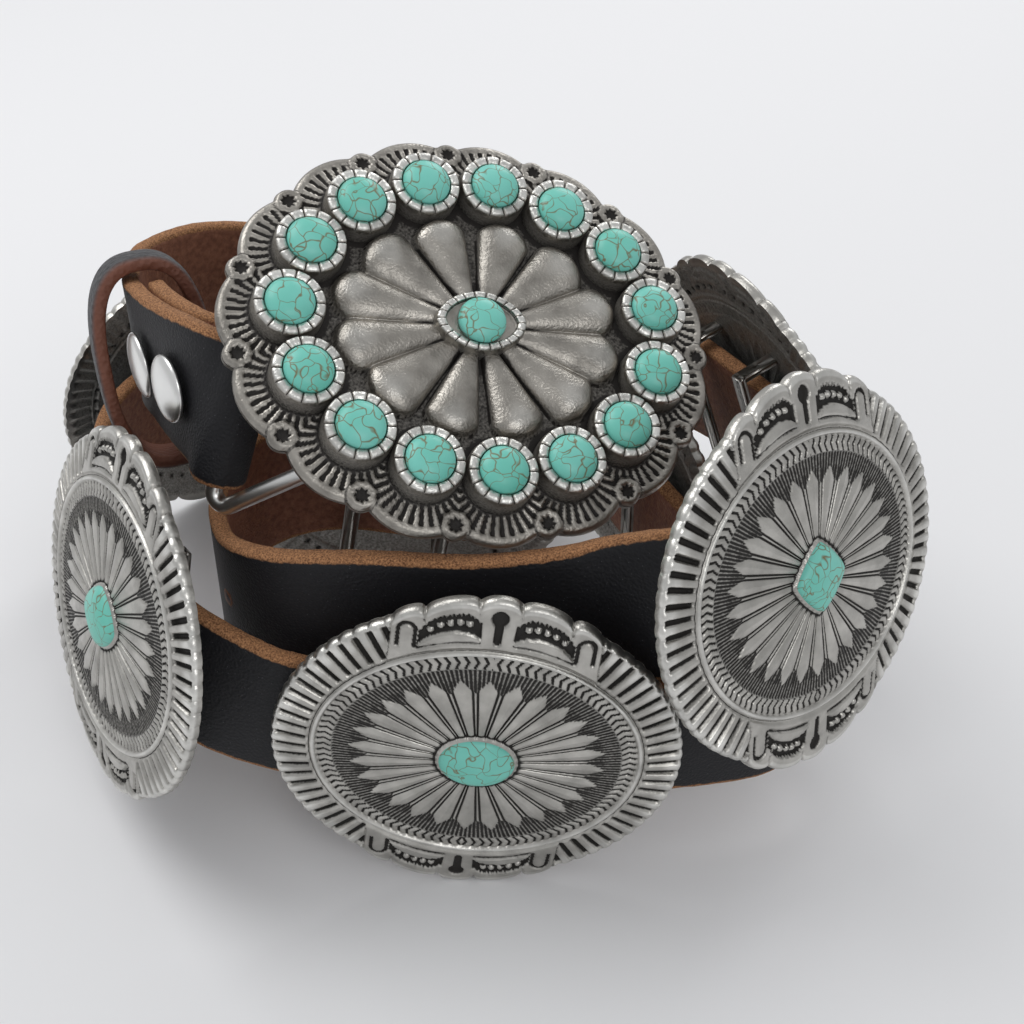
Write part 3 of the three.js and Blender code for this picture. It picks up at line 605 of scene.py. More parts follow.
# %% Strap mesh
rng = np.random.default_rng(7)  # for the ragged cut edge, the same each time
rows = strap_rows()
points, outer, from_edge = [], [], []
for i, (middle, up, out) in enumerate(rows):
    for v, w, side in strap_section:
        fuzz = rng.normal(0, EDGE_FUZZ) if side == 0.5 else 0
        points.append(middle + up * (v + fuzz * np.sign(v)) + out * w)
        outer.append(side)
        end = min(i, len(rows) - 1 - i) * ROW_STEP
        from_edge.append(0 if side == 0.5 else min(half_width - abs(v), end))
columns = len(strap_section)
faces = grid_faces(len(rows), columns)
faces.append(tuple(range(columns)))
faces.append(tuple(range(len(points) - 1, len(points) - 1 - columns, -1)))
strap_piece = make_piece("strap_leather_piece", points, faces)
store(strap_piece, "outer", outer)
store(strap_piece, "from_edge", from_edge)

# %% Punched holes
HOLE_DIAMETER = 4
HOLE_SPACING = 20
HOLE_COUNT = 5
HOLE_START = 1.5  # spacings from the tip to the first hole
CUT_REACH = 4  # how far the cutters stand out on both sides


def cylinder_points(place, low, high, radius, sides=24):
    side = np.cross(place[3], place[2])
    rings = []
    for w in (low, high):
        for k in range(sides):
            a = 2 * math.pi * k / sides
            rings.append(place[0] + place[3] * w + (side * math.cos(a) + place[2] * math.sin(a)) * radius)
    faces = grid_faces(2, sides)
    faces += [tuple(range(sides))[::-1], tuple(range(sides, 2 * sides))]
    return rings, faces


cutter_points, cutter_faces = [], []
for i in range(HOLE_COUNT):
    hole_place = frame_at(share_at(route_length - HOLE_SPACING * (i + HOLE_START)))
    ring, ring_faces = cylinder_points(hole_place, -CUT_REACH, CUT_REACH, HOLE_DIAMETER / 2)
    cutter_faces += [tuple(v + len(cutter_points) for v in f) for f in ring_faces]
    cutter_points += ring
cutter = make_piece("hole_cutter", cutter_points, cutter_faces)
cut = strap_piece.modifiers.new("holes", "BOOLEAN")
cut.operation = "DIFFERENCE"
cut.object = cutter
bpy.context.view_layer.objects.active = strap_piece
with bpy.context.temp_override(object=strap_piece, active_object=strap_piece):
    bpy.ops.object.modifier_apply(modifier=cut.name)
bpy.data.objects.remove(cutter)
dress(strap_piece, "belt", strap_leather, ["strap"])
print("strap:", len(strap_piece.data.polygons), "faces")

# %% [markdown]
# ## Keeper, snaps and bail
# The keeper is a second leather loop that lies loosely round the strap. Its band has one section,
# repeated round a squared oval. A torus would be quicker, but its section is round. Each snap has
# a domed cap pressed from thin metal, so it is a profile spun about its post. The bail is a wire
# bent to a skewed loop: a ring of round sections, with arcs of one radius at its four corners.

# %% Keeper
KEEPER_HEIGHT = 46
KEEPER_DEPTH = 22
KEEPER_BAND = 11
KEEPER_AT = 49  # along the route
KEEPER_POWER = 2.6  # 2 is an oval, and more is squarer
KEEPER_UP = -4
KEEPER_OUT = -2.2
keeper_place = frame_at(share_at(KEEPER_AT))
half_band = KEEPER_BAND / 2
keeper_section = [
    (-half_band, 0.3, 0), (-half_band, 2.4, 0), (-half_band + 0.7, 3.1, 0.8), (-half_band + 1.8, 3.2, 1),
    (0, 3.35, 1), (half_band - 1.8, 3.2, 1), (half_band - 0.7, 3.1, 0.8), (half_band, 2.4, 0),
    (half_band, 0.3, 0), (half_band - 0.5, 0, 0), (0, 0, 0), (-half_band + 0.5, 0, 0),
]
points, outer = [], []
KEEPER_STEPS = 120
for k in range(KEEPER_STEPS):
    angle = 2 * math.pi * k / KEEPER_STEPS
    c, s = math.cos(angle), math.sin(angle)
    size = (abs(c) ** KEEPER_POWER + abs(s) ** KEEPER_POWER) ** (-1 / KEEPER_POWER)
    for along, rise, side in keeper_section:
        up = (KEEPER_HEIGHT / 2 + rise) * size * s + KEEPER_UP
        out = (KEEPER_DEPTH / 2 + rise) * size * c + KEEPER_OUT
        points.append(offset_point(keeper_place, up=up, out=out, along=along))
        outer.append(side)
keeper = make_piece("keeper_loop", points, ring_of_rings(KEEPER_STEPS, len(keeper_section)))
store(keeper, "outer", outer)
dress(keeper, "belt", keeper_leather, ["keeper"])
print("keeper:", len(keeper.data.polygons), "faces")

# %% Snaps
SNAP_DIAMETER = 15.5
SNAP_SEAT = 1.1
SNAP_RISE = 2.6
SNAP_WALL = 0.65
SNAP_PLACES = (15, 34)  # along the route
SOCKET_RADIUS = 4.65
POST_RADIUS = 2
SPIN_GAP = 0.01  # so that a spun profile never closes to a point


def lathe(profile, sides, axes, origin):
    """A spun shape: rows of (radius, height) about an axis, closed at both ends."""
    side, up, out = axes
    points = []
    for radius, height in profile:
        for k in range(sides):
            a = 2 * math.pi * k / sides
            points.append(origin + out * height + (side * math.cos(a) + up * math.sin(a)) * radius)
    faces = grid_faces(len(profile), sides)
    faces += [tuple(range(sides))[::-1], tuple(range((len(profile) - 1) * sides, len(profile) * sides))]
    return points, faces


for i, length in enumerate(SNAP_PLACES):
    place = frame_at(share_at(length))
    seat = half_thick + SNAP_SEAT
    back = -(fold_offset(length) + half_thick + SNAP_SEAT)
    radius = SNAP_DIAMETER / 2
    profile = [
        (SPIN_GAP, back - 1.2), (SOCKET_RADIUS - 0.45, back - 1.2), (SOCKET_RADIUS, back - 0.8),
        (SOCKET_RADIUS, back), (POST_RADIUS, back), (POST_RADIUS, seat), (radius - 0.5, seat),
        (radius, seat + 0.25), (radius, seat + SNAP_WALL),
    ]
    for t in np.linspace(0.08, 1, 12):
        a = t * math.pi / 2
        height = SNAP_WALL + (SNAP_RISE - SNAP_WALL) * math.sin(a)
        profile.append((radius * math.cos(a) + SPIN_GAP, seat + height))
    side = np.cross(place[2], place[3])
    points, faces = lathe(profile, 48, (side, place[2], place[3]), place[0])
    snap = make_piece(f"snap_cap_{i + 1}", points, faces)
    dress(snap, "belt", bright_metal, [f"snap_{i + 1}"])
print("snaps:", len(SNAP_PLACES))

# %% Buckle axes
BUCKLE_WIDTH = 113
BUCKLE_HEIGHT = 98
BUCKLE_TURN, BUCKLE_LEAN, BUCKLE_ROLL = (math.radians(v) for v in (31, 55.6, -21.8))
buckle_origin = np.array([-0.09 * COIL_WIDTH / 2, -0.22 * COIL_DEPTH / 2, 1.265 * CONCHO_HEIGHT]) + BELT_SHIFT
buckle_out = np.array([
    math.sin(BUCKLE_TURN) * math.cos(BUCKLE_LEAN), -math.cos(BUCKLE_TURN) * math.cos(BUCKLE_LEAN),
    math.sin(BUCKLE_LEAN),
])
level_side = np.array([math.cos(BUCKLE_TURN), math.sin(BUCKLE_TURN), 0])
level_up = np.cross(buckle_out, level_side)
buckle_side = level_side * math.cos(BUCKLE_ROLL) + level_up * math.sin(BUCKLE_ROLL)
buckle_up = level_up * math.cos(BUCKLE_ROLL) - level_side * math.sin(BUCKLE_ROLL)
LUG_SIDE = -0.25 * BUCKLE_WIDTH
LUG_DROP = 8


def on_buckle(points):
    points = np.asarray(points, float)
    return (
        buckle_origin + points[:, :1] * buckle_side + points[:, 1:2] * buckle_up + points[:, 2:] * buckle_out
    )


# %% Bail
BAIL_SPAN = 51
BAIL_BEND = 3
BAIL_SHIFT = 0.6
BAIL_SIDES = 20
fold_place = frame_at(0)
fold_middle = offset_point(fold_place, up=-BAIL_SHIFT, out=-FOLD_RADIUS)
lug_middle = on_buckle([(LUG_SIDE, -BAIL_SHIFT, -LUG_DROP)])[0]
corners = [
    fold_middle + fold_place[2] * BAIL_SPAN / 2, fold_middle - fold_place[2] * BAIL_SPAN / 2,
    lug_middle - buckle_up * BAIL_SPAN / 2, lug_middle + buckle_up * BAIL_SPAN / 2,
]
wire = []
for i, corner in enumerate(corners):
    before = unit(corners[i - 1] - corner)
    after = unit(corners[(i + 1) % 4] - corner)
    bend = math.acos(np.dot(before, after)) / 2
    turn = math.pi - 2 * bend
    middle = corner + unit(before + after) * BAIL_BEND / math.sin(bend)
    enter = corner + before * BAIL_BEND / math.tan(bend) - middle
    leave = corner + after * BAIL_BEND / math.tan(bend) - middle
    for t in np.linspace(0, 1, 16):
        wire.append(middle + (enter * math.sin((1 - t) * turn) + leave * math.sin(t * turn)) / math.sin(turn))
across_bail = unit(np.cross(fold_place[2] + buckle_up, lug_middle - fold_middle))
points = []
for i, point in enumerate(wire):
    ahead = unit(wire[(i + 1) % len(wire)] - wire[i - 1])
    side = unit(across_bail - ahead * np.dot(across_bail, ahead))
    other = np.cross(ahead, side)
    for k in range(BAIL_SIDES):
        a = 2 * math.pi * k / BAIL_SIDES
        points.append(point + (side * math.cos(a) + other * math.sin(a)) * WIRE_DIAMETER / 2)
bail = make_piece("bail_wire", points, ring_of_rings(len(wire), BAIL_SIDES))
dress(bail, "belt", bright_metal, ["bail"])
print("bail:", len(wire), "steps of wire")

# %% [markdown]
# ## Conchos
# All eight plates come from one mould, so one relief is worked out on a grid and set at each
# place. The grid runs outward from the stone through closed curves: bezel, feather tips, inner
# oval, chevron band, plain ring and edge. The heights on it are the carver's cuts, and a number
# for each point says how deep in shadow it lies, for the black left in the hollows, and goes
# below 0 on ridges drawn lighter, partly rubbed polish and partly painted highlight. It could be
# sculpted, but cuts written as numbers stay even all the way round.

# %% Concho curves
CONCHO_WIDTH = 90
CONCHO_DOME = 4.6
EDGE_HEIGHT = 1.25
CONCHO_SEAT = 1.2
SIDE_HEIGHT = 0.93  # of the half height, at the fluted sides
FLUTES = 25  # on each side
FEATHERS = 28
CHEVRONS = 104
COLUMNS = 700
FEATHER_TURN = 0.8  # of a feather's length, where it starts to narrow to its point

half_long = CONCHO_WIDTH / 2
half_high = CONCHO_HEIGHT / 2
EDGE_WAVE = 0.012
LOBE_END = 22.2
# ends of each lobe across the top, the height at its ends, and how far it bulges
LOBES = [(-4.3, 4.3, 41.7, 41.7, 2.3), (4.3, 15.4, 41.7, 38.4, 2.5), (15.4, LOBE_END, 38.4, 34.9, 2.2)]
lobe_angle = math.acos(LOBE_END / half_long)


def smooth(low, high, value):
    t = np.clip((value - low) / (high - low), 0, 1)
    return t * t * (3 - 2 * t)


def groove(distance, width):
    """1 in the middle of a cut, falling to 0 at half its width."""
    return 1 - smooth(width * 0.25, width * 0.6, np.abs(distance))


def round_arc(place):
    """Half an ellipse over a place from -1 to 1, and 0 beyond."""
    return np.sqrt(np.clip(1 - place**2, 0, 1))


def lobe_top(x):
    """How high the scalloped edge stands at each distance across the lobes."""
    reach = np.abs(x)
    top = np.zeros_like(x)
    for low, high, start, end, bulge in LOBES:
        across = x if low < 0 else reach
        t = np.clip((across - low) / (high - low), 0, 1)
        inside = (reach >= max(low, 0)) & (reach < high)
        top = np.where(inside, start + (end - start) * t + bulge * round_arc(2 * t - 1), top)
    return top


def side_turn(angles):
    """The angle from the nearer side end of the plate, as a share of the fluted side."""
    return np.abs((angles + math.pi / 2) % math.pi - math.pi / 2) / lobe_angle


def outline_points(angles):
    """The edge: scalloped lobes at top and bottom, and an oval with fine flutes at the sides."""
    x = half_long * np.cos(angles)
    y = half_high * SIDE_HEIGHT * np.sin(angles)
    flute = np.abs(np.cos(math.pi * (side_turn(angles) * FLUTES / 2 - 0.5)))
    scale = 1 + EDGE_WAVE * (flute**0.5 - 0.75)
    side_x, side_y = x * scale, y * scale
    on_lobe = np.abs(x) < LOBE_END
    return np.where(on_lobe, x, side_x), np.where(on_lobe, np.sign(y) * lobe_top(x), side_y)


def oval_points(angles, long, high, power=2.0):
    c, s = np.cos(angles), np.sin(angles)
    size = (np.abs(c) ** power + np.abs(s) ** power) ** (-1 / power)
    return c * size * long, s * size * high


# %% Concho relief


def out_share(x, y):
    """The square of how far out a point lies: 0 at the middle, 1 on the plate's own oval."""
    return np.clip((x / half_long) ** 2 + (y / half_high) ** 2, 0, 1.1)


def dome(x, y):
    """The plate's own curve, before any cuts."""
    return EDGE_HEIGHT + (CONCHO_DOME - EDGE_HEIGHT) * (1 - out_share(x, y) ** 1.1)


# half length, half height and roundness of each stone
STONE_CUTS = {"oval": (8.4, 6.9, 2.0), "square": (8.0, 8.0, 1.25), "rhombus": (8.9, 7.6, 1.45)}
# half lengths and half heights of the curves beyond the bezel
CURVES = [(28.2, 23.4), (31.8, 26.4), (35.2, 29.9), (36.7, 31.2)]
# rows of points in each zone: bezel, feathers, fine cuts, chevrons, ring, and flutes and lobes
ROWS = (3, 26, 8, 10, 6, 30)


def concho_front(cut):
    """Points, heights and shadow of the front, from the stone's edge out to the rim."""
    angles = np.linspace(0, 2 * math.pi, COLUMNS, endpoint=False)
    long, high, power = STONE_CUTS[cut]
    rings = [oval_points(angles, long + by, high + by, power) for by in (-0.4, 0.8)]
    rings += [oval_points(angles, a, b) for a, b in CURVES]
    rings.append(outline_points(angles))
    xs, ys, zones, shares = [], [], [], []
    for zone, count in enumerate(ROWS):
        steps = np.linspace(0, 1, count, endpoint=zone == len(ROWS) - 1)
        for t in steps:
            xs.append(rings[zone][0] * (1 - t) + rings[zone + 1][0] * t)
            ys.append(rings[zone][1] * (1 - t) + rings[zone + 1][1] * t)
            zones.append(zone)
            shares.append(t)
    x, y = np.array(xs), np.array(ys)
    zone, t = np.array(zones)[:, None], np.array(shares)[:, None]
    a = angles[None, :] + 0 * x
    z = dome(x, y)
    shadow = np.zeros_like(z)

    # bezel
    z += np.where(zone == 0, 0.9 * np.sin(math.pi * np.clip(t * 0.8 + 0.35, 0, 1)), 0)
    shadow += np.where((zone == 0) & (t < 0.2), 0.5, 0)
    # feathers, each with a raised rib between two grooves
    phase = (a * FEATHERS / (2 * math.pi) + 0.5) % 1 - 0.5
    blade = 0.3 + 0.07 * t
    tip = np.where(t > FEATHER_TURN, 0.36 * (1 - t) / (1 - FEATHER_TURN), blade)
    on_blade = 1 - smooth(tip - 0.03, tip + 0.03, np.abs(phase))
    rib = 1 - smooth(0.03, 0.075, 0.5 - np.abs(phase))
    in_feathers = zone == 1
    lines = 0.5 + 0.5 * np.cos(a * FEATHERS * 7)
    beyond = in_feathers & (t > FEATHER_TURN)
    z += np.where(in_feathers, on_blade * (0.62 - 0.25 * np.abs(phase) / 0.36) + rib * 0.42 - 0.25, 0)
    z += np.where(beyond, (1 - on_blade) * lines * 0.24, 0)
    feather_shade = (1 - on_blade) * np.where(beyond, 1.05 - 0.55 * lines, 1 - 0.85 * rib)
    shadow += np.where(in_feathers, feather_shade, 0)
    shadow += np.where(in_feathers & (t < 0.06), 0.9 * (1 - t / 0.06), 0)
    # fine radial cuts beyond the tips
    z += np.where(zone == 2, lines * 0.3 - 0.2, 0)
    shadow += np.where(zone == 2, 1.0 - 0.6 * lines, 0)
    # chevrons
    v = np.abs(t - 0.5)
    mark = (a * CHEVRONS / (2 * math.pi) + np.sign(np.cos(a) + 1e-9) * v * 0.9) % 1
    cut_mark = groove(mark - 0.5, 0.42) * (np.abs(v) < 0.44)
    z += np.where(zone == 3, 0.4 - 0.5 * cut_mark - 0.2 * groove(t, 0.12) - 0.5 * groove(t - 1, 0.2), 0)
    shadow += np.where(zone == 3, 1.0 * cut_mark + 0.5 * groove(t, 0.1) + 0.8 * groove(t - 1, 0.18), 0)
    # plain ring, drawn lighter on its crown: partly rubbed polish, partly painted highlight
    z += np.where(zone == 4, 0.15 + 0.75 * np.sin(math.pi * np.clip(t, 0, 1)) ** 0.7, 0)
    shadow += np.where(zone == 4, groove(t - 1, 0.2) * 0.7 - 0.4 * np.sin(math.pi * t), 0)
    # flutes
    band = zone == 5
    count = side_turn(a) * FLUTES / 2
    between = np.abs((count + 0.5) % 1 - 0.5)
    slot = (1 - smooth(0.17, 0.24, between)) * smooth(0.06, 0.14, t) * (1 - smooth(0.8, 0.97, t))
    round_end = 0.9 * round_arc(((t - 0.86) / 0.14).clip(0, 1)) - 0.9
    at_side = band & (np.abs(x) >= LOBE_END)
    wave = 0.09 * np.cos(2 * math.pi * (count + 0.5))
    z += np.where(at_side, 0.75 + round_end + wave - 1.35 * slot - 0.5 * groove(t, 0.1), 0)
    # the ridges are drawn lighter towards the rim: partly rubbed polish, partly painted highlight
    ridge_polish_and_highlight = 0.45 * (1 - slot) * smooth(0.4, 0.8, t)
    shadow += np.where(at_side, 1.25 * slot + 0.8 * groove(t, 0.07) - ridge_polish_and_highlight, 0)
    # lobes at top and bottom: a rounded lip round a dark bed
    lobe_z, lobe_shadow = lobe_relief(x, np.abs(y), t)
    at_lobe = band & (np.abs(x) < LOBE_END)
    z += np.where(at_lobe, lobe_z, 0)
    shadow += np.where(at_lobe, lobe_shadow, 0)
    return x, y, z, np.clip(shadow, -0.6, 1.2)


# %% Lobe relief
KEYHOLE_TOP, KEYHOLE_FOOT = 39.6, 33.4
ARC_MIDDLE, ARC_REACH = 9.9, 6.4  # of the bed under each side arc
BERRIES, BERRY_START, BERRY_STEP, BERRY_RADIUS = 5, 6.1, 1.95, 0.85
TOOTH_STEP = 0.95
HOOK_X, HOOK_Y, HOOK_RADIUS = 18.7, 34.2, 1.8
# across and foot of the cuts that part the lobes
LOBE_CUTS = ((4.3, 40.2), (15.4, 36.6), (LOBE_END, 27.0))


def lobe_relief(x, y, t):
    """Heights and shadow in the lobes, measured from the plate's middle."""
    reach = np.abs(x)
    depth = lobe_top(x) - y
    z = 0.85 * round_arc(np.clip(0.9 - depth, 0, 0.9) / 0.9) - 0.1
    # keyhole in the middle lobe
    stem = (reach < 0.75 + 0.06 * (y - 33)) & (y > KEYHOLE_FOOT) & (y < KEYHOLE_TOP)
    key = np.maximum(1 - smooth(1.5, 2.1, np.hypot(x, y - KEYHOLE_TOP)), stem)
    z -= key
    shadow = 1.2 * key
    # a crescent and a toothed dark bed under each arc
    aside = reach - ARC_MIDDLE
    bed_low = 33.6 - 0.018 * (reach - 3) ** 2
    crescent_top = bed_low + 2.5 * round_arc(aside / ARC_REACH)
    bed_top = 40.1 - 0.03 * (reach - 5) ** 2 - 0.32 * np.clip(np.abs(aside) - 3.2, 0, 9) ** 1.6
    bed_top += 0.35 * np.cos(reach * 2 * math.pi / TOOTH_STEP)
    in_bed = smooth(0, 0.3, bed_top - y) * smooth(0, 0.25, y - crescent_top)
    in_bed = in_bed * (np.abs(aside) < ARC_REACH)
    z -= 0.95 * in_bed
    shadow += 1.1 * in_bed
    foot = groove(y - bed_low + 0.25, 0.7) * (np.abs(aside) < ARC_REACH + 0.2)
    on_crescent = (y > bed_low) & (y < crescent_top) & (np.abs(aside) < ARC_REACH - 0.2)
    z += 0.25 * on_crescent - 0.5 * foot
    shadow += 0.8 * foot
    for k in range(BERRIES):
        berry_x = BERRY_START + k * BERRY_STEP
        sink = max(abs(berry_x - ARC_MIDDLE) - 2, 0)
        berry_y = 37.9 - 0.03 * (berry_x - 5) ** 2 - 0.11 * sink**1.8
        near = np.hypot(reach - berry_x, y - berry_y)
        z += 1.05 * round_arc(near / BERRY_RADIUS)
        # each berry is drawn lighter: partly rubbed polish, partly painted highlight
        shadow -= 1.1 * (near < BERRY_RADIUS - 0.05)
    # hooked grooves in the end lobes
    bend = groove(np.hypot(reach - HOOK_X, y - HOOK_Y) - HOOK_RADIUS, 1.0) * (y > HOOK_Y - 0.2)
    legs = groove(np.abs(reach - HOOK_X) - HOOK_RADIUS, 1.0) * (y <= HOOK_Y) * (y > 30)
    hook = np.maximum(bend, legs)
    z -= 0.8 * hook
    shadow += hook
    for cut_x, low in LOBE_CUTS:
        notch = groove(reach - cut_x, 0.7) * (y > low)
        z -= 0.5 * notch
        shadow += 0.6 * notch
    # the lip round each lobe is drawn lighter: partly rubbed polish, partly painted highlight
    shadow -= 0.4 * smooth(0.2, 0.5, depth) * (1 - smooth(1.2, 1.7, depth))
    lift = smooth(0.02, 0.1, t)
    return z * lift, np.clip(shadow, -0.6, 1.2) * lift + groove(t, 0.07) * 0.6


# %% [markdown]
# ## Back of a concho
# The back is hollow, which saves metal, and the front's relief shows through it faintly. Two flat
# bars stand off the back, and the strap runs between them and the plate. A Solidify modifier would
# give a back of even thickness, but without the thick lip round the edge.

# %% Concho back
BACK_DEPTH = 2.0
LIP_DROP = 0.4
SHOW_THROUGH = 0.45  # the share of the front's relief that shows on the back
BEADS, BEAD_PLACE = 60, 0.62


def concho_back(front):
    """The hollow back: the front's reliefs show through it, softened and in reverse."""
    x, y, z, shadow = front
    x, y = x[2:, ::2], y[2:, ::2]
    low = dome(x, y)
    relief = (z[2:, ::2] - low) * SHOW_THROUGH
    size = out_share(x, y)
    lip = smooth(0.84, 0.97, size)
    bead_angle = np.arctan2(y / half_high, x / half_long)
    bead = np.cos(bead_angle * BEADS) * groove(size - BEAD_PLACE, 0.06)
    height = (low - BACK_DEPTH + relief) * (1 - lip) - LIP_DROP * lip - 0.3 * bead
    height[-1] = -LIP_DROP
    # painted shade: the hollow back is darker inside its lip, and darker in the bead grooves
    back_shade = 0.45 * (1 - lip) + 0.3 * np.clip(-bead, 0, 1)
    return x * 0.997, y * 0.997, height, back_shade


# %% Belt bars
BAR_WIDTH = 4
BAR_THICKNESS = 1.8
BAR_SPREAD = 12
BAR_CLEARANCE = 2.4
BAR_SINK = 0.6
BAR_TOP = 1.6


def rounded_box(low, high, soft=0.4):
    """A box with its corners cut, as points and faces."""
    points, index = [], {}
    for sx in (0, 1):
        for sy in (0, 1):
            for sz in (0, 1):
                for axis in range(3):
                    corner = [(low, high)[s][k] for k, s in enumerate((sx, sy, sz))]
                    for k, s in enumerate((sx, sy, sz)):
                        if k != axis:
                            corner[k] += soft if s == 0 else -soft
                    index[(sx, sy, sz, axis)] = len(points)
                    points.append(corner)
    faces = []
    for axis in range(3):
        p, q = (axis + 1) % 3, (axis + 2) % 3
        for s in (0, 1):
            quad = []
            for u, w in ((0, 0), (1, 0), (1, 1), (0, 1)):
                key = [0, 0, 0]
                key[axis], key[p], key[q] = s, u, w
                quad.append(index[(*key, axis)])
            faces.append(tuple(quad if s else quad[::-1]))
        for u in (0, 1):
            for w in (0, 1):
                key0, key1 = [0, 0, 0], [0, 0, 0]
                key0[axis], key0[p], key0[q] = 0, u, w
                key1[axis], key1[p], key1[q] = 1, u, w
                edge = (index[(*key0, p)], index[(*key1, p)], index[(*key1, q)], index[(*key0, q)])
                faces.append(edge if u == w else edge[::-1])
    for sx in (0, 1):
        for sy in (0, 1):
            for sz in (0, 1):
                corner = tuple(index[(sx, sy, sz, k)] for k in range(3))
                faces.append(corner if (sx + sy + sz) % 2 else corner[::-1])
    return points, faces


def bar_parts():
    parts = []
    back = -(CONCHO_SEAT + STRAP_THICKNESS + BAR_CLEARANCE)
    reach = STRAP_WIDTH / 2 + BAR_CLEARANCE
    outer = reach + BAR_THICKNESS
    half = BAR_WIDTH / 2
    for side in (-1, 1):
        middle = side * BAR_SPREAD
        left, right = middle - half, middle + half
        parts.append(rounded_box((left, -outer, back - BAR_THICKNESS), (right, outer, back)))
        for end in (-1, 1):
            near, far = sorted((end * reach, end * outer))
            parts.append(rounded_box((left, near, back - BAR_SINK), (right, far, BAR_TOP)))
    return parts


# %% Concho mesh
BED_DEPTH = 1.4  # of the bed under the stone, below its bezel


def join_parts(parts):
    """One list of points, faces and shadow from several (points, faces, shadow)."""
    points, faces, shadow = [], [], []
    for part_points, part_faces, part_shadow in parts:
        base = len(points)
        points += [tuple(p) for p in part_points]
        faces += [tuple(v + base for v in f) for f in part_faces]
        shadow += list(part_shadow)
    return np.array(points), faces, shadow


def concho_parts(cut):
    front = concho_front(cut)
    x, y, z, shadow = front
    level = np.ones(COLUMNS)
    x = np.vstack([x, x[-1], x[-1] * 0.996])
    y = np.vstack([y, y[-1], y[-1] * 0.996])
    z = np.vstack([z, level * 0.5, level * -LIP_DROP])
    shadow = np.vstack([shadow, level * 0, level * 0])
    floor_z = z[0].mean() - BED_DEPTH
    points = np.stack([x.ravel(), y.ravel(), z.ravel()], axis=1)
    faces = grid_faces(len(x), COLUMNS)
    bed = np.stack([x[0], y[0], x[0] * 0 + floor_z], axis=1)
    base = len(points)
    points = np.vstack([points, bed, [[0, 0, floor_z]]])
    faces += [(base + j, base + (j + 1) % COLUMNS, (j + 1) % COLUMNS, j) for j in range(COLUMNS)]
    faces += [(base + COLUMNS, base + (j + 1) % COLUMNS, base + j)[::-1] for j in range(COLUMNS)]
    parts = [(points, faces, np.concatenate([shadow.ravel(), np.ones(COLUMNS + 1)]))]
    bx, by, bz, back_shade = concho_back(front)
    columns = bx.shape[1]
    back = np.stack([bx.ravel(), by.ravel(), bz.ravel()], axis=1)
    back_faces = [f[::-1] for f in grid_faces(len(bx), columns)]
    middle = len(back)
    back = np.vstack([back, [[0, 0, bz[0].mean()]]])
    back_faces += [(middle, (j + 1) % columns, j) for j in range(columns)]
    parts.append((back, back_faces, np.concatenate([back_shade.ravel(), [0.4]])))
    for bar_points, bar_faces in bar_parts():
        parts.append((bar_points, bar_faces, [0.25] * len(bar_points)))
    return join_parts(parts)


# %% [markdown]
# ## Stones and places of the conchos
# Each stone is a low dome on a short straight wall: rows of shrinking ovals, squarer or rounder
# by one power. A flattened sphere would be too steep at its foot. The conchos and their stones
# are then set along the strap, each with the roll that it has in the coil.

# %% Stones
STONE_RISE = 3.8


def stone_parts(long, high, power, rise, base, sides=64):
    """A domed stone, from its foot up."""
    angles = np.linspace(0, 2 * math.pi, sides, endpoint=False)
    rows = [(1.0, 0.0), (1.0, 0.28)]
    for t in np.linspace(0.12, 1, 12):
        a = t * math.pi / 2
        rows.append((math.cos(a) ** 0.85 if t < 1 else 0.0, 0.28 + 0.72 * math.sin(a)))
    points = []
    for share, height in rows:
        x, y = oval_points(angles, long * share, high * share, power + (2 - power) * (1 - share) * 0.6)
        points += list(zip(x, y, [base + rise * height] * sides))
    faces = grid_faces(len(rows), sides)
    faces.append(tuple(range(sides))[::-1])
    return np.array(points), faces


# %% Places of the conchos
# where each one sits on the route's points, its roll, its cut and how far it drops to the strap
CONCHO_PLACES = [
    (18, -5, "oval", 0), (38, -2, "square", 0), (22, 5, "rhombus", 0), (26.75, 0, "oval", 0),
    (30.05, 0, "square", 0), (33, 0, "rhombus", 0), (10.3, 0, "oval", 0), (49.75, 0, "square", 1.1),
]
concho_moulds = {cut: concho_parts(cut) for cut in STONE_CUTS}
for number, (at, roll, cut, drop) in enumerate(CONCHO_PLACES, 1):
    point, along, up, out = frame_at(at / (len(COIL_ROUTE) - 1))
    r = math.radians(roll)
    side_axis = -along * math.cos(r) + up * math.sin(r)
    up_axis = up * math.cos(r) + along * math.sin(r)
    origin = point + out * (half_thick + CONCHO_SEAT - drop)
    axes = np.array([side_axis, up_axis, out])
    mould, mould_faces, mould_shadow = concho_moulds[cut]
    concho = make_piece(f"concho_plate_{number}", origin + mould @ axes, mould_faces)
    # the hollow number holds the patina in the cuts, the painted shade of the back and lighter ridges
    store(concho, "hollow", mould_shadow)
    dress(concho, "belt", silver, [f"concho_{number}"])
    long, high, power = STONE_CUTS[cut]
    stone_points, stone_faces = stone_parts(long, high, power, STONE_RISE, CONCHO_DOME - 0.7)
    stone = make_piece(f"concho_stone_{number}", origin + stone_points @ axes, stone_faces)
    dress(stone, "belt", turquoise, [f"stone_{number}"])
print("conchos:", len(CONCHO_PLACES), "of", len(concho.data.polygons), "faces")

# %% [markdown]
# ## Buckle plate
# The plate is one casting. Its edge is the union of fifteen round fans and fifteen small eyes
# between them, and the petals and grained ground are carved inside. The heights are worked out in
# the plate's own plane, column by column round the oval. Thirty cylinders joined by Booleans would
# give the same edge, but no even grid to carve in.

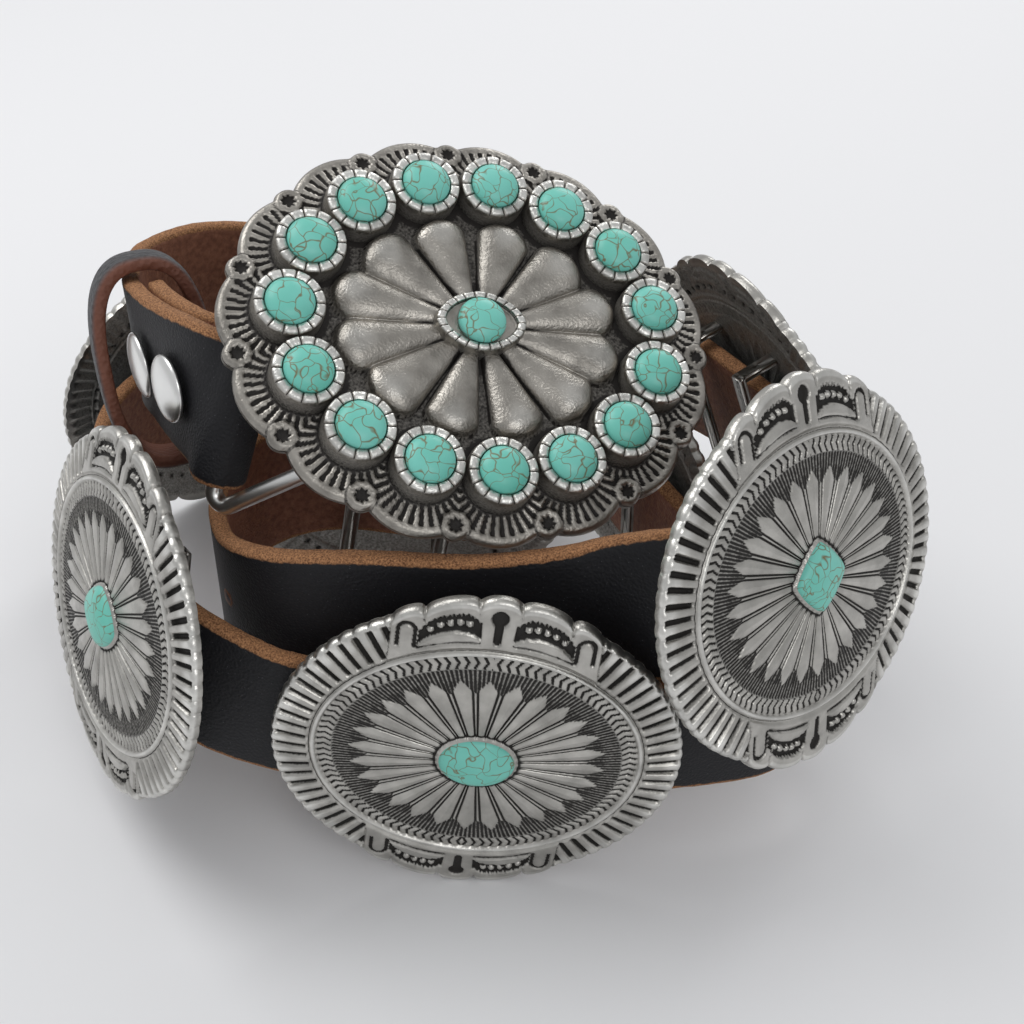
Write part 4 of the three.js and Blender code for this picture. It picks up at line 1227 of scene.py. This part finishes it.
# %% Buckle layout
BUCKLE_PLATE = 3
BUCKLE_DOME = 2.4
BUCKLE_STONES = 15
CUP_START = 0.4  # of a step, so that a cup lies just below the plate's right end
CUP_RING = (0.735 * BUCKLE_WIDTH / 2, 0.705 * BUCKLE_HEIGHT / 2)
EYE_RING = (52.6, 45.2)
FAN_RADIUS = 14.6
EYE_RADIUS = 3.1
LEAST_REACH = 30.0
PETALS = 12
PLATE_COLUMNS = 800


def even_angles(long, high, count, start):
    """Angles that share an oval's edge into even steps."""
    a = np.linspace(0, 2 * math.pi, 7201)
    steps = np.hypot(long * np.sin(a), high * np.cos(a))
    lengths = np.concatenate([[0], np.cumsum((steps[1:] + steps[:-1]) / 2)])
    want = ((np.arange(count) + start) / count % 1) * lengths[-1]
    return np.interp(want, lengths, a)


cup_angles = even_angles(*CUP_RING, BUCKLE_STONES, CUP_START)
cups = np.stack([CUP_RING[0] * np.cos(cup_angles), CUP_RING[1] * np.sin(cup_angles)], axis=1)
eye_angles = even_angles(BUCKLE_WIDTH / 2, BUCKLE_HEIGHT / 2, BUCKLE_STONES, CUP_START + 0.5)
eyes = np.stack([EYE_RING[0] * np.cos(eye_angles), EYE_RING[1] * np.sin(eye_angles)], axis=1)
print("buckle layout:", len(cups), "cups and", len(eyes), "eyes")


def plate_edge(angles):
    """How far the plate reaches from its middle in each direction."""
    directions = np.stack([np.cos(angles), np.sin(angles)], axis=1)
    reach = np.full(len(angles), LEAST_REACH)
    for centres, radius in ((cups, FAN_RADIUS), (eyes, EYE_RADIUS)):
        for centre in centres:
            forward = directions @ centre
            off = centre @ centre - forward**2
            hit = (off < radius**2) & (forward > 0)
            reach = np.maximum(reach, np.where(hit, forward + np.sqrt(np.clip(radius**2 - off, 0, None)), 0))
    return reach


# %% Petals
PETAL_REACH = (33.0, 26.5)
PETAL_RISE = 4.2
PETAL_CAP = 0.84  # of a petal's length, where it starts to round off
LONG_SPREAD, SHORT_SPREAD = 0.22, 0.262  # half widths of long and short petals, to their length


def petal_heights(x, y):
    """How full the nearest petal is at each point, from 0 to 1, and -1 between the petals."""
    petals = np.full_like(x, -1.0)
    for k in range(PETALS):
        a = 2 * math.pi * (k + 0.5) / PETALS
        tip = np.array([PETAL_REACH[0] * math.cos(a), PETAL_REACH[1] * math.sin(a)])
        length = np.linalg.norm(tip)
        axis = tip / length
        forward = x * axis[0] + y * axis[1]
        off = np.abs(-x * axis[1] + y * axis[0])
        t = forward / length
        spread = LONG_SPREAD if abs(math.sin(a)) < 0.6 else SHORT_SPREAD
        end = round_arc(((t - PETAL_CAP) / (1 - PETAL_CAP)).clip(0, 1))
        width = (spread * length * np.clip(t, 0, PETAL_CAP) + 0.25) * end
        inside = (forward > 4) & (off < width) & (t < 1)
        across = round_arc(off / np.maximum(width, 1e-3))
        full = np.clip(0.35 + 0.75 * t, 0, 1) * np.sqrt(end)
        petals = np.where(inside, np.maximum(petals, across**0.8 * full), petals)
    return petals


# %% Buckle relief
RIM_ROUND = 1.2
SLOT_ANGLE = math.radians(10.5)
FAN_REACH = math.radians(86)


def nearest_of(centres, x, y):
    """The offset from the nearest of some centres, its length, and which centre it is."""
    which = np.argmin([(x - c[0]) ** 2 + (y - c[1]) ** 2 for c in centres], axis=0)
    dx, dy = x - centres[which, 0], y - centres[which, 1]
    return dx, dy, np.hypot(dx, dy), which


def buckle_heights(x, y, edge_gap):
    """Heights and shadow of the plate: rim, ground, fans of slots, eyes and petals."""
    share = np.clip((2 * x / BUCKLE_WIDTH) ** 2 + (2 * y / BUCKLE_HEIGHT) ** 2, 0, 1)
    z = BUCKLE_PLATE - 0.6 + BUCKLE_DOME * (1 - share)
    shadow = np.zeros_like(z)
    z -= RIM_ROUND * (1 - round_arc(np.clip(RIM_ROUND - edge_gap, 0, RIM_ROUND) / RIM_ROUND))
    # ground inside the cups
    ring = np.hypot(x / CUP_RING[0], y / CUP_RING[1])
    ground = 1 - smooth(0.92, 1.0, ring)
    shadow += 0.62 * ground
    # fans of slots round each cup
    dx, dy, from_cup, cup = nearest_of(cups, x, y)
    outward = np.arctan2(cups[cup, 1] / CUP_RING[1] ** 2, cups[cup, 0] / CUP_RING[0] ** 2)
    turn = (np.arctan2(dy, dx) - outward + math.pi) % (2 * math.pi) - math.pi
    ray = np.abs((turn / SLOT_ANGLE + 0.5) % 1 - 0.5)
    fan = smooth(8.2, 8.8, from_cup) * (1 - smooth(12.2, 12.8, from_cup)) * (np.abs(turn) < FAN_REACH)
    # eyes between the fans, each with a star sunk in it
    dx, dy, eye_gap, _ = nearest_of(eyes, x, y)
    clear_of_eye = smooth(EYE_RADIUS - 0.3, EYE_RADIUS + 0.4, eye_gap)
    slot = (1 - smooth(0.16, 0.26, ray)) * fan * clear_of_eye
    star = 1 - smooth(1.15, 1.65, eye_gap / (1 + 0.22 * np.cos(8 * np.arctan2(dy, dx))))
    z += 0.35 * (1 - clear_of_eye) - 0.75 * slot - 1.1 * star
    shadow += 1.2 * slot + 0.12 * (ring > 1) + 1.1 * star + 0.5 * groove(eye_gap - EYE_RADIUS - 0.3, 0.8)
    petals = petal_heights(x, y)
    full = petals.clip(0, 1)
    z += PETAL_RISE * full
    # painted shade on the petals' sloping flanks, and a painted highlight on their crests
    petal_shade_and_highlight = 1 - smooth(0.05, 0.6, petals) - 0.25 * smooth(0.8, 1, petals)
    shadow = np.where(petals >= 0, petal_shade_and_highlight, shadow)
    near_middle = 1 - smooth(11.5, 16.0, np.hypot(x, y * 1.35))
    shadow += 0.5 * near_middle * (1 - smooth(0.2, 0.7, full))
    # painted shade round the foot of each cup
    shadow += 0.7 * (1 - smooth(7.6, 9.6, from_cup)) * (ring < 1.25)
    return z, np.clip(shadow, -0.6, 1.2)


# %% Buckle faces
FRONT_STEPS = np.concatenate([np.linspace(0.02, 0.62, 56, endpoint=False), np.linspace(0.62, 1.0, 52)])
BACK_STEPS = np.array([1.0, 1.0, 0.985, 0.94, 0.9, 0.7, 0.5, 0.3, 0.1])
BACK_HEIGHTS = np.array([BUCKLE_PLATE - 1.8, 0.3, 0.0, 0.0, 0.25, 1.0, 1.5, 1.8, 1.9])
angles = np.linspace(0, 2 * math.pi, PLATE_COLUMNS, endpoint=False)
edge = plate_edge(angles)


def spread_rows(steps):
    """Points across the plate, at shares of the way from its middle to its edge."""
    reach = edge[None, :] * steps[:, None]
    return np.cos(angles)[None, :] * reach, np.sin(angles)[None, :] * reach


x, y = spread_rows(FRONT_STEPS)
z, shadow = buckle_heights(x, y, edge[None, :] * (1 - FRONT_STEPS[:, None]))
front = np.vstack([np.stack([x.ravel(), y.ravel(), z.ravel()], axis=1), [[0, 0, z[0].mean()]]])
faces = grid_faces(len(FRONT_STEPS), PLATE_COLUMNS)
faces += [(len(front) - 1, j, (j + 1) % PLATE_COLUMNS) for j in range(PLATE_COLUMNS)]
plate_parts = [(front, faces, np.concatenate([shadow.ravel(), [0.5]]))]
x, y = spread_rows(BACK_STEPS)
back = np.stack([x.ravel(), y.ravel(), np.repeat(BACK_HEIGHTS, PLATE_COLUMNS)], axis=1)
middle = len(back)
back = np.vstack([back, [[0, 0, BACK_HEIGHTS[-1]]]])
faces = grid_faces(len(BACK_STEPS), PLATE_COLUMNS)
last_row = middle - PLATE_COLUMNS
faces += [(last_row + j, last_row + (j + 1) % PLATE_COLUMNS, middle) for j in range(PLATE_COLUMNS)]
plate_parts.append((back, faces, [0.3] * len(back)))
print("plate edge:", round(float(edge.min()), 1), "to", round(float(edge.max()), 1), "mm from the middle")

# %% [markdown]
# ## Cups, collar, lugs and hook
# Each stone sits in a round cup, its rim cut into fourteen blocks. The middle stone has an oval
# collar cut the same way. The blocks could be an array of small boxes, but the real rim is one
# casting, so the ring is one mesh that sinks at each cut. The lugs hold the bail, and the hook on
# the back goes into a hole of the strap.

# %% Cups and collar
CUP_TOP = BUCKLE_PLATE + 6
CUP_BED = CUP_TOP - 1.5
CUP_OUTER, CUP_INNER, CUP_BLOCKS = (7.7, 7.7), (5.5, 5.5), 14
COLLAR_TOP = 9.4
COLLAR_BED = COLLAR_TOP - 1.1
COLLAR_OUTER, COLLAR_INNER, COLLAR_BLOCKS = (10.1, 7.2), (8.1, 5.5), 22
COLLAR_POWER = 1.75  # below 2, the oval's ends come to points like an eye's
BLOCK_CUT = 0.55


def grow(size, by):
    return size[0] + by, size[1] + by


def blocked_ring(centre, outer_size, inner_size, blocks, base, bed, top, power=2.0):
    """A raised ring with its rim cut into blocks, and the bed inside it."""
    sides = 8 * blocks
    a = np.linspace(0, 2 * math.pi, sides, endpoint=False)
    gap = np.abs((a * blocks / (2 * math.pi) + 0.5) % 1 - 0.5)
    cut = 1 - smooth(0.04, 0.1, gap)
    crown = tuple((v + w) / 2 for v, w in zip(outer_size, inner_size))
    # size, height, shadow, and how deep the cuts between blocks run. The shadow is painted shade
    # on the outer wall, black in the cuts, darker at the foot of the inner wall, and below 0 on the
    # rim top, which is partly rubbed polish and partly painted highlight
    rows = [
        (grow(outer_size, 0.8), base, 1.0, 0), (grow(outer_size, 0.1), base + 1.4, 0.65, 0),
        (grow(outer_size, 0.15), top - 2.0, 0.42, 0), (outer_size, top - 0.9, 0.15, 0.25),
        (grow(outer_size, -0.1), top - 0.35, -0.3, 0.8), (grow(outer_size, -0.4), top, -0.6, 1),
        (crown, top + 0.05, -0.6, 1), (grow(inner_size, 0.2), top, -0.6, 1),
        (inner_size, top - 0.3, 0.2, 0.7), (inner_size, bed, 0.7, 0),
        (tuple(v * 0.93 for v in inner_size), bed, 0.0, 0),
        (tuple(v * 0.02 for v in inner_size), bed, 0.0, 0),
    ]
    points, shadow = [], []
    for size, height, shade, share in rows:
        px, py = oval_points(a, *size, power)
        points += list(zip(centre[0] + px, centre[1] + py, height - BLOCK_CUT * cut * share))
        shadow += list(np.clip(shade + (1.1 - shade) * cut * share, -0.6, 1.2))
    faces = grid_faces(len(rows), sides)
    faces.append(tuple(range((len(rows) - 1) * sides, len(rows) * sides)))
    return points, faces, shadow


for cup in cups:
    plate_parts.append(blocked_ring(cup, CUP_OUTER, CUP_INNER, CUP_BLOCKS, 1.8, CUP_BED, CUP_TOP))
plate_parts.append(
    blocked_ring((0, 0), COLLAR_OUTER, COLLAR_INNER, COLLAR_BLOCKS, 2.5, COLLAR_BED, COLLAR_TOP, COLLAR_POWER)
)
print("cups and collar:", len(cups) + 1, "rings cut into blocks")

# %% Lugs and hook
LUG_SPREAD = 11.5
LUG_LENGTH, LUG_WIDTH = 8.6, 4.6
LUG_FOOT = 4.0  # beyond the wire's middle
HOOK_SIDE = 0.33 * BUCKLE_WIDTH
HOOK_PROFILE = [(0.3, -9.0), (1.2, -8.9), (1.65, -8.3), (1.7, -1.2), (2.2, 0.0), (2.8, 1.2)]
for side in (-1, 1):
    middle = side * LUG_SPREAD
    lug_points, lug_faces = rounded_box(
        (LUG_SIDE - LUG_LENGTH / 2, middle - LUG_WIDTH / 2, -LUG_DROP - LUG_FOOT),
        (LUG_SIDE + LUG_LENGTH / 2, middle + LUG_WIDTH / 2, 0.8), 0.9,
    )
    plate_parts.append((lug_points, lug_faces, [0.2] * len(lug_points)))
hook_points, hook_faces = lathe(HOOK_PROFILE, 24, np.eye(3), np.array([HOOK_SIDE, 0, 0]))
plate_parts.append((hook_points, hook_faces, [0.2] * len(hook_points)))

# %% Buckle mesh
points, faces, shadow = join_parts(plate_parts)
buckle = make_piece("buckle_plate", on_buckle(points), faces)
# the hollow number carries the patina in the cuts and the painted shade and highlight of the buckle
store(buckle, "hollow", shadow)
dress(buckle, "buckle", pewter, ["buckle"])
print("buckle:", len(buckle.data.polygons), "faces")

# %% Buckle stones
# radius, rise and foot of the stones in the cups and in the collar
CUP_STONE = (5.35, 3.5, CUP_TOP - 1.3)
COLLAR_STONE = (5.3, 3.2, COLLAR_TOP - 1.0)
seats = [(f"cup_stone_{i}", f"buckle_stone_{i}", cup, *CUP_STONE) for i, cup in enumerate(cups, 1)]
seats.append(("collar_stone", "buckle_centre_stone", (0, 0), *COLLAR_STONE))
for name, node, (cup_x, cup_y), radius, rise, base in seats:
    stone_points, stone_faces = stone_parts(radius, radius, 2.0, rise, base, 48)
    stone = make_piece(name, on_buckle(stone_points + [cup_x, cup_y, 0]), stone_faces)
    dress(stone, "buckle", turquoise, [node])
print("buckle stones:", len(seats))
